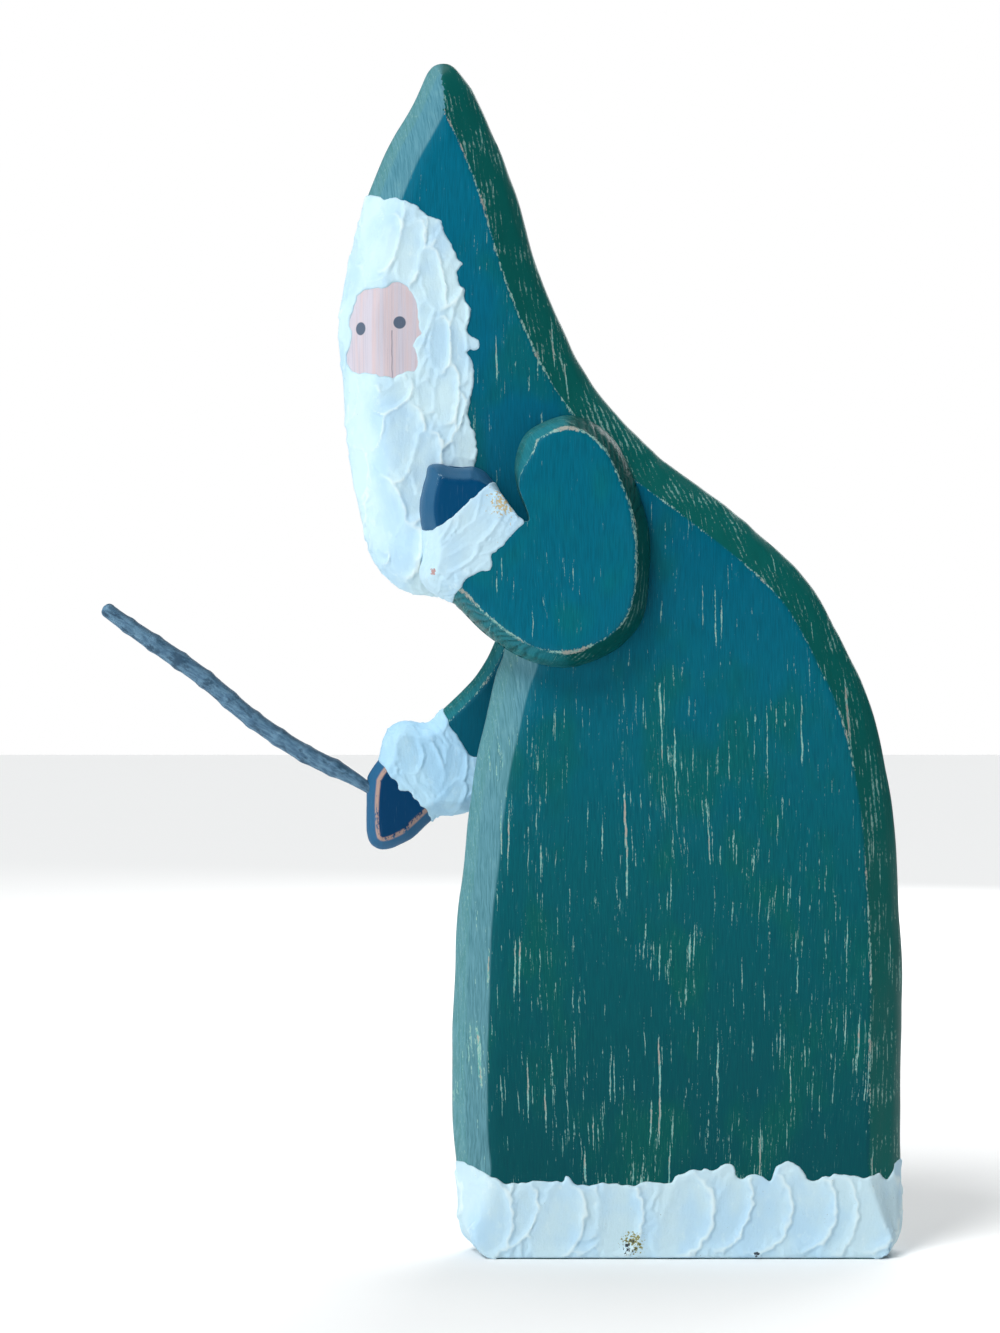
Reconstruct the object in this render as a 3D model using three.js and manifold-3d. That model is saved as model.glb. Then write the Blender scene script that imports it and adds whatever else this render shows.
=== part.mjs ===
// A folk-art figure in a long hooded robe, sawn from thick boards and painted, with a switch in its far hand.
// Millimetres, +Z up. The figure looks toward -X, its near side faces -Y, and its foot stands on z = 0.
import * as THREE from 'three';
import { mergeVertices } from 'three/addons/utils/BufferGeometryUtils.js';
import Module from 'manifold-3d';

const wasm = await Module();
wasm.setup();

// Driving sizes of the boards.
const bodyHalfThickness = 19;
const armThickness = 19;
const touchGap = 0.3;
const bodyChamferWidth = 18.5;
const bodyNoseWidth = 5;
const bodyNoseHalfDepth = 7.7;
const armChamferWidth = 8;
const armNoseWidth = 2.4;
const armInnerChamferWidth = 6.5;

// The foot of the robe.
const footHalfWidth = 113;
const footFrontRadius = 20;
const footBackRadius = 16;
const chamferStop = [4, 48];

// Brushed-on texture paste: how thick it stands, and how far the hem stays off the ground.
const pasteThickness = 1.3;
const hemGroundGap = 0.6;

// How finely the outlines are stepped, along the edge.
const bodyStep = 9;
const cornerStep = 3;
const armStep = 6;

// How near to the middle of a narrow place its two chamfers come, as a share of the way.
const ridgeShare = 0.94;

// The back of the robe from above the hem up over the shoulder to the tip of the hood, as [x, z].
const robeBack = [
  [112.5, 40], [113.2, 58], [113.2, 108], [113.5, 154], [111, 200], [106.5, 241], [98.5, 277], [85.5, 307.5],
  [68.5, 338.5], [44, 364.5], [12, 389.5], [-20, 414.5], [-42, 440], [-60, 471], [-74, 507], [-84.5, 542.5],
  [-96, 572.5], [-106.5, 594],
];
const hoodTip = [
  [-106.5, 594], [-111, 600], [-113.7, 603], [-117.3, 606], [-121.4, 606.9], [-125.4, 606], [-128.5, 603],
  [-133, 594],
];

// The front of the hood, the face and the beard, from below the tip down to the throat.
const hoodAndBeard = [
  [-133, 594], [-139, 581.5], [-149, 563], [-157.5, 543.5], [-161.5, 532.5], [-167.5, 512], [-171.5, 491.5],
  [-174, 471], [-172.5, 450.5], [-170.5, 430], [-168, 410], [-165.5, 389.5], [-160.5, 369], [-157.5, 358.5],
  [-152, 348.5], [-143, 340], [-136, 336.8], [-120, 335.5], [-106, 332], [-95, 324.5], [-89.5, 314],
  [-90, 305],
];

// The front of the robe, from the throat down to the foot.
const robeFront = [
  [-90, 305], [-94.5, 292.5], [-100, 269], [-104, 251.5], [-107.5, 228], [-110.5, 198.5], [-113.5, 173.5],
  [-115.3, 129], [-116, 88], [-115.5, 58], [-113.7, 40],
];

// The near arm: mitten, the inside of the bent elbow, then the shoulder and the outside of the elbow.
const nearMitten = [
  [-131, 342.5], [-131.5, 348], [-129.5, 357], [-132.5, 375.5], [-132, 384], [-129.5, 393.5], [-127, 401.5],
  [-113, 400], [-103.5, 400], [-98, 396.5], [-82, 373], [-77.5, 372],
];
const nearInnerElbow = [
  [-77.5, 372], [-79, 379], [-82.5, 387], [-84, 400.5], [-79.5, 416], [-73.5, 421], [-58, 426],
  [-43.5, 421.5], [-32.5, 411], [-24.5, 395], [-18, 374], [-16, 354], [-19, 327], [-25.5, 315],
  [-34.5, 307], [-45, 302], [-56.5, 299], [-70, 300], [-82, 304], [-100, 316], [-116.5, 332],
  [-123.5, 335.5], [-128, 338.5], [-131, 342.5],
];

// The far arm: mitten, the underside of the sleeve, the shoulder behind the body, then the top of the sleeve.
const farArm = [
  [-161, 236], [-161.6, 223.5], [-160.2, 209], [-157, 205], [-151.5, 203.5], [-146.5, 205], [-138.5, 209],
  [-129, 218], [-122.5, 222.5], [-116, 221.8], [-108.5, 224], [-66, 236], [-40, 250.5], [-19, 282],
  [-11.5, 323.5], [-14, 365], [-24.5, 406.5], [-47.5, 428.5], [-68.5, 422], [-81.5, 396], [-85, 354.5],
  [-90.5, 323], [-99.5, 301.5], [-105.2, 293.2], [-112.5, 285], [-121, 277], [-130.5, 269.2], [-139.5, 270.5],
  [-146, 269], [-149.8, 266], [-152.5, 259], [-153.5, 253], [-157.8, 246.4], [-160.4, 241.5],
];

// The switch, a thin cut branch, from its tip to its end inside the far mitten.
const switchPath = [
  [-298, 330.2], [-286.8, 321.8], [-265.9, 307.5], [-245.1, 292.7], [-224.3, 275], [-213.9, 267.2],
  [-193.1, 253.9], [-172.3, 243.5], [-162, 237.3], [-150, 230],
];
const switchTipRadius = 3.8;
const switchMidRadius = 4.6;
const switchButtRadius = 2.9;
const switchKnotHeight = 0.45;
const switchKnots = 11;
const switchKnotSharpness = 6;
const switchFullShare = 0.25;
const switchThinningShare = 0.8;
const switchNeckShare = 0.94;
const switchTipFlat = 0.55;
const switchSteps = 56;
const switchSides = 8;
const socketLength = 24;
const socketSides = 12;
const socketEndRoom = 1;

// Borders of the paste, as [x, z] on the board's face. The first and last points lie outside the board.
const hoodTrimBorder = [
  [-170, 543], [-155, 539], [-141, 535], [-128, 526.5], [-117, 514], [-113, 500], [-107, 478], [-104, 460],
  [-108, 426], [-104, 410], [-104.5, 378], [-112, 358], [-120, 346], [-124, 328],
];
const facePatch = [
  [-165, 486], [-156, 491], [-144.5, 493], [-136, 488], [-131.5, 467.5], [-134, 457], [-133, 450],
  [-147, 445], [-157, 447.5], [-169, 450.5], [-168, 470],
];
const hemBorder = [
  [-130, 47], [-114.5, 47], [-88, 38.5], [-52.5, 38], [-26, 37], [-6, 38.5], [6.5, 45], [23.5, 48], [28, 41],
  [45, 40], [55.5, 48], [64.5, 40], [86.5, 42.5], [104, 38.5], [130, 47],
];
const nearCuffHandSide = [[-142, 366], [-130, 368.5], [-118.5, 372], [-107, 382], [-94, 391], [-91, 397]];
const nearCuffSleeveSide = [
  [-88, 396], [-86.8, 387], [-83, 380], [-80.3, 374], [-81, 369], [-95.5, 355.5], [-107, 344], [-115, 332.5],
  [-118, 322],
];
const farCuffHandSide = [[-164, 256], [-154.5, 250], [-146, 240], [-138, 234], [-129, 224], [-124, 210]];
const farCuffSleeveSide = [[-106, 210], [-103, 224], [-104, 250], [-111, 260], [-119, 271], [-128, 286]];
const outsideX = 200;
const outsideY = 60;
const facePatchFarY = -3;
const trimBorderStep = 5;

// Colours and finishes.
const robePaint = new THREE.MeshStandardMaterial({ color: 0x045f70, roughness: 0.5, metalness: 0 });
const nearSleevePaint = new THREE.MeshStandardMaterial({ color: 0x02616f, roughness: 0.5, metalness: 0 });
const farSleevePaint = new THREE.MeshStandardMaterial({ color: 0x034d5c, roughness: 0.5, metalness: 0 });
const barkPaint = new THREE.MeshStandardMaterial({ color: 0x466984, roughness: 0.6, metalness: 0 });
const whitePaste = new THREE.MeshStandardMaterial({ color: 0xc4e0ee, roughness: 0.75, metalness: 0 });
const hemPaste = new THREE.MeshStandardMaterial({ color: 0xbddae6, roughness: 0.75, metalness: 0 });
const nearCuffPaste = new THREE.MeshStandardMaterial({ color: 0xb9ddee, roughness: 0.75, metalness: 0 });
const farCuffPaste = new THREE.MeshStandardMaterial({ color: 0xa7d3ec, roughness: 0.75, metalness: 0 });

// Evenly spaced points on a smooth line through [x, z] points, without the last one, where the next begins.
function smoothStretch(points, step) {
  const curve = new THREE.CatmullRomCurve3(
    points.map(([x, z]) => new THREE.Vector3(x, z, 0)),
    false,
    'centripetal',
  );
  const count = Math.ceil(curve.getLength() / step);
  return curve.getSpacedPoints(count).slice(0, -1).map(({ x, y }) => new THREE.Vector2(x, y));
}

// Evenly spaced points on a line or arc of three.js, likewise without the last one.
function evenStretch(curve, step) {
  return curve.getSpacedPoints(Math.ceil(curve.getLength() / step)).slice(0, -1);
}

// The outline of the body board, counter-clockwise seen from the near side.
function bodyOutline() {
  const foot = new THREE.LineCurve(
    new THREE.Vector2(footFrontRadius - footHalfWidth, 0),
    new THREE.Vector2(footHalfWidth - footBackRadius, 0),
  );
  const backCorner = new THREE.ArcCurve(
    footHalfWidth - footBackRadius, footBackRadius, footBackRadius, -Math.PI / 2, 0,
  );
  const frontCorner = new THREE.ArcCurve(
    footFrontRadius - footHalfWidth, footFrontRadius, footFrontRadius, Math.PI, 1.5 * Math.PI,
  );
  return [
    ...evenStretch(foot, bodyStep),
    ...evenStretch(backCorner, cornerStep),
    ...smoothStretch([[footHalfWidth, footBackRadius], ...robeBack], bodyStep),
    ...smoothStretch(hoodTip, cornerStep),
    ...smoothStretch(hoodAndBeard, bodyStep),
    ...smoothStretch([...robeFront, [-footHalfWidth, footFrontRadius]], bodyStep),
    ...evenStretch(frontCorner, cornerStep),
  ];
}

// The outline of an arm from its stretches, turned to run counter-clockwise.
function armOutline(...stretches) {
  const outline = stretches.flatMap((points) => smoothStretch(points, armStep));
  return THREE.ShapeUtils.isClockWise(outline) ? outline.reverse() : outline;
}

// The inward normal at every point of an outline that runs counter-clockwise.
function inwardNormals(outline) {
  const count = outline.length;
  return outline.map((point, i) => {
    const along = outline[(i + 1) % count].clone().sub(outline[(i + count - 1) % count]).normalize();
    return new THREE.Vector2(-along.y, along.x);
  });
}

// The radius of the largest circle inside an outline that touches it at a given point.
function innerRadius(outline, point, normal) {
  let radius = Infinity;
  for (const other of outline) {
    const chord = other.clone().sub(point);
    const rise = chord.dot(normal);
    if (rise > 0) radius = Math.min(radius, chord.lengthSq() / (2 * rise));
  }
  return radius;
}

// The y of a board's edge at an inset that is less than the section's own corner has.
function depthAtInset(section, corner, inset) {
  const nose = section.findIndex(([value]) => value === 0);
  const step = Math.sign(nose - corner);
  let outer = corner;
  while (outer !== nose && section[outer][0] > inset) outer += step;
  if (outer === corner) return section[corner][1];
  const [innerInset, innerDepth] = section[outer - step];
  const [outerInset, outerDepth] = section[outer];
  return THREE.MathUtils.mapLinear(inset, outerInset, innerInset, outerDepth, innerDepth);
}

// How far, and which way, a section's corner moves when the section grows by one unit all round.
function growthOfCorner(section, corner) {
  const sideBetween = (from, to) => {
    const side = new THREE.Vector2(section[from][1] - section[to][1], section[to][0] - section[from][0]);
    return side.normalize();
  };
  const nearFace = new THREE.Vector2(0, -1);
  const farFace = new THREE.Vector2(0, 1);
  const before = corner === 0 ? nearFace : sideBetween(corner - 1, corner);
  const after = corner === section.length - 1 ? farFace : sideBetween(corner, corner + 1);
  return before.clone().add(after).divideScalar(1 + before.dot(after));
}

// A board cut to an outline. Its edge follows a section of [inset, y] corners, from near face to far face.
// Where the board is narrow its chamfers meet in a ridge, and where insetShare is 0 the edge stays square.
function workedBoard({ outline, section, insetShare }, growth = 0) {
  const count = outline.length;
  const normals = inwardNormals(outline);
  const widest = Math.max(...section.map(([inset]) => inset));
  const shares = outline.map(insetShare);
  const fits = outline.map((point, i) => {
    const room = ridgeShare * innerRadius(outline, point, normals[i]);
    return Math.min(1, room / (widest * shares[i]));
  });
  const positions = [];
  section.forEach(([inset], corner) => {
    const growing = growthOfCorner(section, corner).multiplyScalar(growth);
    outline.forEach((point, i) => {
      const reach = inset * fits[i] * shares[i] + growing.x;
      const place = point.clone().addScaledVector(normals[i], reach);
      positions.push(place.x, depthAtInset(section, corner, inset * fits[i]) + growing.y, place.y);
    });
  });
  const triangles = [];
  for (let start = 0; start < (section.length - 1) * count; start += count) {
    for (let i = 0; i < count; i += 1) {
      const next = (i + 1) % count;
      triangles.push(start + i, start + count + next, start + next);
      triangles.push(start + i, start + count + i, start + count + next);
    }
  }
  const faceOf = ([inset]) => {
    const reachAt = (i) => inset * fits[i] * shares[i];
    const ring = outline.map((point, i) => point.clone().addScaledVector(normals[i], reachAt(i)));
    return THREE.ShapeUtils.triangulateShape(ring, []);
  };
  const farStart = (section.length - 1) * count;
  for (const [a, b, c] of faceOf(section[0])) triangles.push(a, b, c);
  for (const [a, b, c] of faceOf(section[section.length - 1])) {
    triangles.push(farStart + a, farStart + c, farStart + b);
  }
  return solidFrom(positions, triangles);
}

// A closed solid from its corners and triangles.
function solidFrom(positions, triangles) {
  return new wasm.Manifold(
    new wasm.Mesh({
      numProp: 3,
      vertProperties: new Float32Array(positions),
      triVerts: new Uint32Array(triangles),
    }),
  );
}

// A closed solid from a geometry of three.js.
function solidOf(geometry) {
  geometry.deleteAttribute('normal');
  geometry.deleteAttribute('uv');
  const merged = mergeVertices(geometry);
  return solidFrom(merged.attributes.position.array, merged.index.array);
}

// The mesh of a solid, under its own name and finish.
function pieceOf(name, solid, finish) {
  const { vertProperties, triVerts } = solid.getMesh();
  const geometry = new THREE.BufferGeometry();
  geometry.setAttribute('position', new THREE.BufferAttribute(vertProperties, 3));
  geometry.setIndex(new THREE.BufferAttribute(triVerts, 1));
  geometry.computeVertexNormals();
  const piece = new THREE.Mesh(geometry, finish);
  piece.name = name;
  return piece;
}

// A prism over an area of [x, z] points, between two depths.
function prismOver(points, nearY, farY) {
  const area = new THREE.Shape(points);
  const prism = new THREE.ExtrudeGeometry(area, { depth: farY - nearY, bevelEnabled: false });
  prism.rotateX(Math.PI / 2);
  prism.translate(0, farY, 0);
  return solidOf(prism);
}

// A layer of paste over a board, as far as an area reaches.
function pasteOver(board, area) {
  const outside = workedBoard(board, touchGap + pasteThickness);
  const inside = workedBoard(board, touchGap);
  return outside.subtract(inside).intersect(area);
}

// A branch of changing thickness along a line, with closed ends.
function branchAlong(curve, radiusAt) {
  const frames = curve.computeFrenetFrames(switchSteps, false);
  const positions = [];
  for (let ring = 0; ring <= switchSteps; ring += 1) {
    const share = ring / switchSteps;
    const centre = curve.getPointAt(share);
    for (let side = 0; side < switchSides; side += 1) {
      const angle = (2 * Math.PI * side) / switchSides;
      const place = centre.clone();
      place.addScaledVector(frames.normals[ring], radiusAt(share) * Math.cos(angle));
      place.addScaledVector(frames.binormals[ring], radiusAt(share) * Math.sin(angle));
      positions.push(...place);
    }
  }
  const triangles = [];
  for (let ring = 0; ring < switchSteps; ring += 1) {
    for (let side = 0; side < switchSides; side += 1) {
      const start = ring * switchSides;
      const next = (side + 1) % switchSides;
      triangles.push(start + side, start + next, start + switchSides + next);
      triangles.push(start + side, start + switchSides + next, start + switchSides + side);
    }
  }
  const lastRing = switchSteps * switchSides;
  for (let side = 2; side < switchSides; side += 1) {
    triangles.push(0, side, side - 1);
    triangles.push(lastRing, lastRing + side - 1, lastRing + side);
  }
  return solidFrom(positions, triangles);
}

// The radius of the switch along it: a blunt round tip, low knots, and a thinned end in the mitten.
function switchRadius(share) {
  const roundTip = Math.min(1, switchTipFlat + (1 - switchTipFlat) * share * switchSteps);
  const thickening = THREE.MathUtils.smoothstep(share, 0, switchFullShare);
  const thinning = THREE.MathUtils.smoothstep(share, switchThinningShare, switchNeckShare);
  const radius = THREE.MathUtils.lerp(
    THREE.MathUtils.lerp(switchTipRadius, switchMidRadius, thickening),
    switchButtRadius,
    thinning,
  );
  const knot = Math.cos(Math.PI * switchKnots * share) ** switchKnotSharpness;
  return roundTip * radius + switchKnotHeight * (1 - thinning) * knot;
}

// The boards.
const easedToFoot = (point) => THREE.MathUtils.smoothstep(point.y, ...chamferStop);
const fullInset = () => 1;
const armFaceY = bodyHalfThickness + touchGap;
const armOuterY = bodyHalfThickness + armThickness;
const armMidY = (armFaceY + armOuterY) / 2;

const bodyBoard = {
  outline: bodyOutline(),
  section: [
    [bodyChamferWidth, -bodyHalfThickness],
    [bodyNoseWidth, -bodyNoseHalfDepth],
    [0, 0],
    [bodyNoseWidth, bodyNoseHalfDepth],
    [bodyChamferWidth, bodyHalfThickness],
  ],
  insetShare: easedToFoot,
};
const nearArmBoard = {
  outline: armOutline(nearMitten, nearInnerElbow),
  section: [
    [armChamferWidth, -armOuterY],
    [armNoseWidth, -armMidY],
    [0, -armFaceY],
  ],
  insetShare: fullInset,
};
const farArmBoard = {
  outline: armOutline([...farArm, farArm[0]]),
  section: [
    [armInnerChamferWidth, armFaceY],
    [0, armMidY],
    [armChamferWidth, armOuterY],
  ],
  insetShare: fullInset,
};

// The areas that the paste covers.
const vectorsOf = (points) => points.map(([x, z]) => new THREE.Vector2(x, z));
const smoothBorder = (points) => [...smoothStretch(points, trimBorderStep), ...vectorsOf(points.slice(-1))];
const hoodTrimOutside = [
  [-outsideX, hoodTrimBorder[hoodTrimBorder.length - 1][1]],
  [-outsideX, hoodTrimBorder[0][1]],
];
const hemOutside = [[outsideX, hemGroundGap], [-outsideX, hemGroundGap]];
const hoodTrimArea = prismOver(
  [...smoothBorder(hoodTrimBorder), ...vectorsOf(hoodTrimOutside)],
  -outsideY,
  outsideY,
);
const faceArea = prismOver(
  smoothStretch([...facePatch, facePatch[0]], trimBorderStep),
  -outsideY,
  facePatchFarY,
);
const hemArea = prismOver([...smoothBorder(hemBorder), ...vectorsOf(hemOutside)], -outsideY, outsideY);
const nearCuffArea = prismOver(
  [...smoothBorder(nearCuffHandSide), ...smoothBorder(nearCuffSleeveSide)],
  -outsideY,
  -armFaceY,
);
const farCuffArea = prismOver(
  [...smoothBorder(farCuffHandSide), ...smoothBorder(farCuffSleeveSide)],
  0,
  outsideY,
);

// The switch and the hole that it is pressed into.
const switchCurve = new THREE.CatmullRomCurve3(
  switchPath.map(([x, z]) => new THREE.Vector3(x, armMidY, z)),
  false,
  'centripetal',
);
const socketHole = new THREE.CylinderGeometry(
  switchButtRadius + touchGap, switchButtRadius + touchGap, socketLength, socketSides,
);
const switchEnd = switchCurve.getPointAt(1);
const switchHeading = switchCurve.getTangentAt(1);
const cylinderAxis = new THREE.Vector3(0, 1, 0);
socketHole.applyQuaternion(new THREE.Quaternion().setFromUnitVectors(cylinderAxis, switchHeading));
socketHole.translate(...switchEnd.clone().addScaledVector(switchHeading, socketEndRoom - socketLength / 2));

// The paste of the hood keeps clear of the near arm and of its cuff.
const hoodTrim = pasteOver(bodyBoard, hoodTrimArea)
  .subtract(faceArea)
  .subtract(workedBoard(nearArmBoard, touchGap))
  .subtract(workedBoard(nearArmBoard, pasteThickness + 2 * touchGap).intersect(nearCuffArea));

const figure = new THREE.Group();
figure.add(
  pieceOf('body_board', workedBoard(bodyBoard), robePaint),
  pieceOf('near_arm', workedBoard(nearArmBoard), nearSleevePaint),
  pieceOf('far_arm', workedBoard(farArmBoard).subtract(solidOf(socketHole)), farSleevePaint),
  pieceOf('switch_twig', branchAlong(switchCurve, switchRadius), barkPaint),
  pieceOf('hood_fur_and_beard', hoodTrim, whitePaste),
  pieceOf('hem_fur', pasteOver(bodyBoard, hemArea), hemPaste),
  pieceOf('near_cuff_fur', pasteOver(nearArmBoard, nearCuffArea), nearCuffPaste),
  pieceOf('far_cuff_fur', pasteOver(farArmBoard, farCuffArea), farCuffPaste),
);
export default figure;
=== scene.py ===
import math

import bpy
import numpy as np
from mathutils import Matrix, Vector, geometry, kdtree


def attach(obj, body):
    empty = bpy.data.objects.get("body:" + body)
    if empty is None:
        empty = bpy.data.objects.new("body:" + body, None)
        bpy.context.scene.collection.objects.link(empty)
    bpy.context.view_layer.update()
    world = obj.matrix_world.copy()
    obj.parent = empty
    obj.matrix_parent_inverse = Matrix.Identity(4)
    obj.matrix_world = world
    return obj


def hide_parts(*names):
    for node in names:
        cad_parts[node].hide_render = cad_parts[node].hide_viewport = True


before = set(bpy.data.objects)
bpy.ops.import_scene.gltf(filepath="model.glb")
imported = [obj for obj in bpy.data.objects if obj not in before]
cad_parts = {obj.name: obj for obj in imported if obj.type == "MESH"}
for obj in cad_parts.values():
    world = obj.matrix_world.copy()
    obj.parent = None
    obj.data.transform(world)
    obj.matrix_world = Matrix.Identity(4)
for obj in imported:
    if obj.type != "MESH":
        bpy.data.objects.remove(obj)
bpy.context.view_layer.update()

mm = 0.001  # shapes are worked out in millimetres, as x, y, z with the near side at -y
coarse = 1.0


# Lines, distances and smooth random fields

def smoothLine(points, step, closed=False):  # centripetal line through the points, evenly resampled
    p = np.array(points, float)
    p = np.vstack([p[-1], p, p[:2]]) if closed else np.vstack([2 * p[0] - p[1], p, 2 * p[-1] - p[-2]])
    knots = np.append(0, np.cumsum(np.sqrt(np.linalg.norm(np.diff(p, axis=0), axis=1))))
    dense = []
    for i in range(1, len(p) - 2):
        t = np.linspace(knots[i], knots[i + 1], 20, endpoint=False)[:, None]
        k = knots[i - 1:i + 3]
        a = [((k[j + 1] - t) * p[i - 1 + j] + (t - k[j]) * p[i + j]) / (k[j + 1] - k[j]) for j in range(3)]
        b = [((k[j + 2] - t) * a[j] + (t - k[j]) * a[j + 1]) / (k[j + 2] - k[j]) for j in range(2)]
        dense.append(((k[2] - t) * b[0] + (t - k[1]) * b[1]) / (k[2] - k[1]))
    dense = np.vstack(dense + [p[-2:-1]])
    along = np.append(0, np.cumsum(np.linalg.norm(np.diff(dense, axis=0), axis=1)))
    even = np.linspace(0, along[-1], max(3, round(along[-1] / step) + 1))
    line = np.column_stack([np.interp(even, along, dense[:, k]) for k in range(dense.shape[1])])
    return line[:-1] if closed else line


def easeBetween(value, low, high):
    t = np.clip((value - low) / (high - low), 0, 1)
    return t * t * (3 - 2 * t)


def wobble(points, size, seed, waves=20):  # smooth random field, about -1 to 1, with forms `size` mm across
    rng = np.random.default_rng(seed)
    heading = rng.normal(size=(waves, points.shape[1]))
    heading *= (2 * math.pi / size / rng.uniform(0.7, 1.7, waves) / np.linalg.norm(heading, axis=1))[:, None]
    phase = rng.uniform(0, 2 * math.pi, waves)
    return np.sin(points @ heading.T + phase).sum(1) / math.sqrt(waves)


def insideOf(points, polygon):
    inside = np.zeros(len(points), bool)
    for (x0, z0), (x1, z1) in zip(polygon, np.roll(polygon, -1, 0)):
        if z0 != z1:
            crosses = (z0 > points[:, 1]) != (z1 > points[:, 1])
            inside ^= crosses & (points[:, 0] < x0 + (points[:, 1] - z0) * (x1 - x0) / (z1 - z0))
    return inside


def depthInside(points, polygon):  # distance to a polygon's border, above zero inside it
    nearest = np.full(len(points), np.inf)
    for start, end in zip(polygon, np.roll(polygon, -1, 0)):
        side = end - start
        t = np.clip((points - start) @ side / max(side @ side, 1e-9), 0, 1)
        nearest = np.minimum(nearest, np.linalg.norm(points - start - t[:, None] * side, axis=1))
    return np.where(insideOf(points, polygon), nearest, -nearest)


def treeOf(points):
    tree = kdtree.KDTree(len(points))
    for i, place in enumerate(points):
        tree.insert(tuple(place) + (0,) * (3 - len(place)), i)
    tree.balance()
    return tree


def distanceTo(tree, points):
    return np.array([tree.find(tuple(p) + (0,) * (3 - len(p)))[2] for p in points])


# Meshes

def vertexNormals(points, triangles):
    a, b, c = (points[triangles[:, k]] for k in range(3))
    faceNormals = np.cross(b - a, c - a)
    normals = np.zeros_like(points)
    for k in range(3):
        np.add.at(normals, triangles[:, k], faceNormals)
    return normals / np.maximum(np.linalg.norm(normals, axis=1), 1e-12)[:, None]


def usedOnly(points, triangles, *values):
    used, triangles = np.unique(triangles, return_inverse=True)
    return points[used], triangles.reshape(-1, 3), *(v[used] for v in values)


def makePiece(name, points, triangles, material, sharpAngle=50, **attributes):
    mesh = bpy.data.meshes.new(name)
    mesh.from_pydata((points * mm).tolist(), [], triangles.tolist())
    for label, values in attributes.items():
        kind, field = ("FLOAT_VECTOR", "vector") if np.ndim(values) == 2 else ("FLOAT", "value")
        layer = mesh.attributes.new(label, kind, "POINT")
        layer.data.foreach_set(field, np.asarray(values, np.float32).ravel())
    mesh.materials.append(material)
    mesh.shade_smooth()
    mesh.set_sharp_from_angle(angle=math.radians(sharpAngle))
    piece = bpy.data.objects.new(name, mesh)
    bpy.context.scene.collection.objects.link(piece)
    return piece


def handOver(piece, node):
    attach(piece, "root")
    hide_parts(node)
    print(f"{piece.name}: {len(piece.data.polygons)} faces")


# Boards: an outline taken from the CAD node, and an edge worked to a section

bodyBoard = {
    "node": "body_board",
    "ringDepth": 0,
    "near": [(0, 0), (0.9, -2.2), (5, -7.7), (18.5, -19)],
    "far": [(0, 0), (0.9, 2.2), (5, 7.7), (18.5, 19)],
    "edgeWidth": 18.5,
    "softFront": 5.5,  # the front arris is sanded round over this length, the back one is left crisp
    "chamferStop": (4, 48),  # heights between which the chamfer narrows towards the foot
    "footShare": 0.42,
    "leastShare": 0.3,  # the flat working grid never narrows the edge more than this
    "step": 1.7,
    "lattice": (2.0, 3.4),
    "unevenness": 0.32,
    "seed": 11,
}
nearArmBoard = {
    "node": "near_arm",
    "ringDepth": -19.3,
    "near": [(0, -19.3), (0.9, -24.5), (2.8, -29.5), (8, -38)],
    "far": [(0, -19.3), (8, -19.3)],
    "edgeWidth": 8,
    "squareAt": ((-80, 380), 7, 30),  # the edge is left square in the crook of the elbow
    "sawnFrom": (-124, 338), "sawnTo": (-70, 296),  # tool marks across the edge between these
    "sawSpacing": 4.6,
    "sawDepth": 0.55,
    "step": 1.1,
    "lattice": (1.6, 2.4),
    "unevenness": 0.3,
    "seed": 12,
}
farArmBoard = {
    "node": "far_arm",
    "ringDepth": 28.65,
    "near": [(0, 28.65), (1.2, 26), (6.5, 19.3)],
    "far": [(0, 28.65), (1.2, 31.5), (8, 38)],
    "edgeWidth": 8,
    "step": 1.2,
    "lattice": (1.8, 2.6),
    "unevenness": 0.3,
    "seed": 13,
}
edgeRounding = 1.6  # how far a worn corner of a section is rounded over, along the surface
beyondEdge = 1.3  # the last ring of the edge lies this far past the arris


def ringOf(node, depth):  # the closed line of a CAD node's edges that lie at one depth, as x, z
    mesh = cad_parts[node].data
    number = {}
    merged = [number.setdefault(tuple(round(c / mm, 2) for c in v.co), len(number)) for v in mesh.vertices]
    places = np.array(list(number))
    level = np.abs(places[:, 1] - depth) < 0.02
    links = {}
    for face in mesh.polygons:
        corners = [merged[v] for v in face.vertices]
        if not level[corners].all():
            for a, b in zip(corners, corners[1:] + corners[:1]):
                if level[a] and level[b] and a != b:
                    links.setdefault(a, set()).add(b)
                    links.setdefault(b, set()).add(a)
    here = min(links, key=lambda v: len(links[v]))
    ring = [here]
    while True:
        ahead = [v for v in links[here] if v not in ring]
        if not ahead:
            break
        here = ahead[0]
        ring.append(here)
    ring = places[ring][:, [0, 2]]
    after = np.roll(ring, -1, 0)
    turning = (ring[:, 0] * after[:, 1] - ring[:, 1] * after[:, 0]).sum()
    return ring if turning > 0 else ring[::-1]


def sectionLine(corners, rounding=edgeRounding):  # inset and depth along a worked edge, its corners worn round
    corners = np.array(corners, float)
    corners = np.vstack([corners, corners[-1] + [90, 0]])
    along = np.append(0, np.cumsum(np.linalg.norm(np.diff(corners, axis=0), axis=1)))
    even = np.arange(0, along[-1], 0.1)
    line = np.column_stack([np.interp(even, along, corners[:, k]) for k in (0, 1)])
    count = np.arange(len(line))
    reach = np.minimum(np.minimum(count, round(rounding / 0.1)), count[::-1])
    total = np.vstack([[0, 0], np.cumsum(line, axis=0)])
    low, high = count - reach, count + reach
    return (total[high + 1] - total[low]) / (high + 1 - low)[:, None], even


def shareAt(board, outline, inward):  # how much of the full edge width each outline point has
    if "chamferStop" in board:
        full = easeBetween(outline[:, 1], *board["chamferStop"])
        return full + (1 - full) * board["footShare"] * inward[:, 0] ** 2
    if "squareAt" in board:
        centre, near, far = board["squareAt"]
        return 0.06 + 0.94 * easeBetween(np.linalg.norm(outline - centre, axis=1), near, far)
    return np.ones(len(outline))


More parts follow.
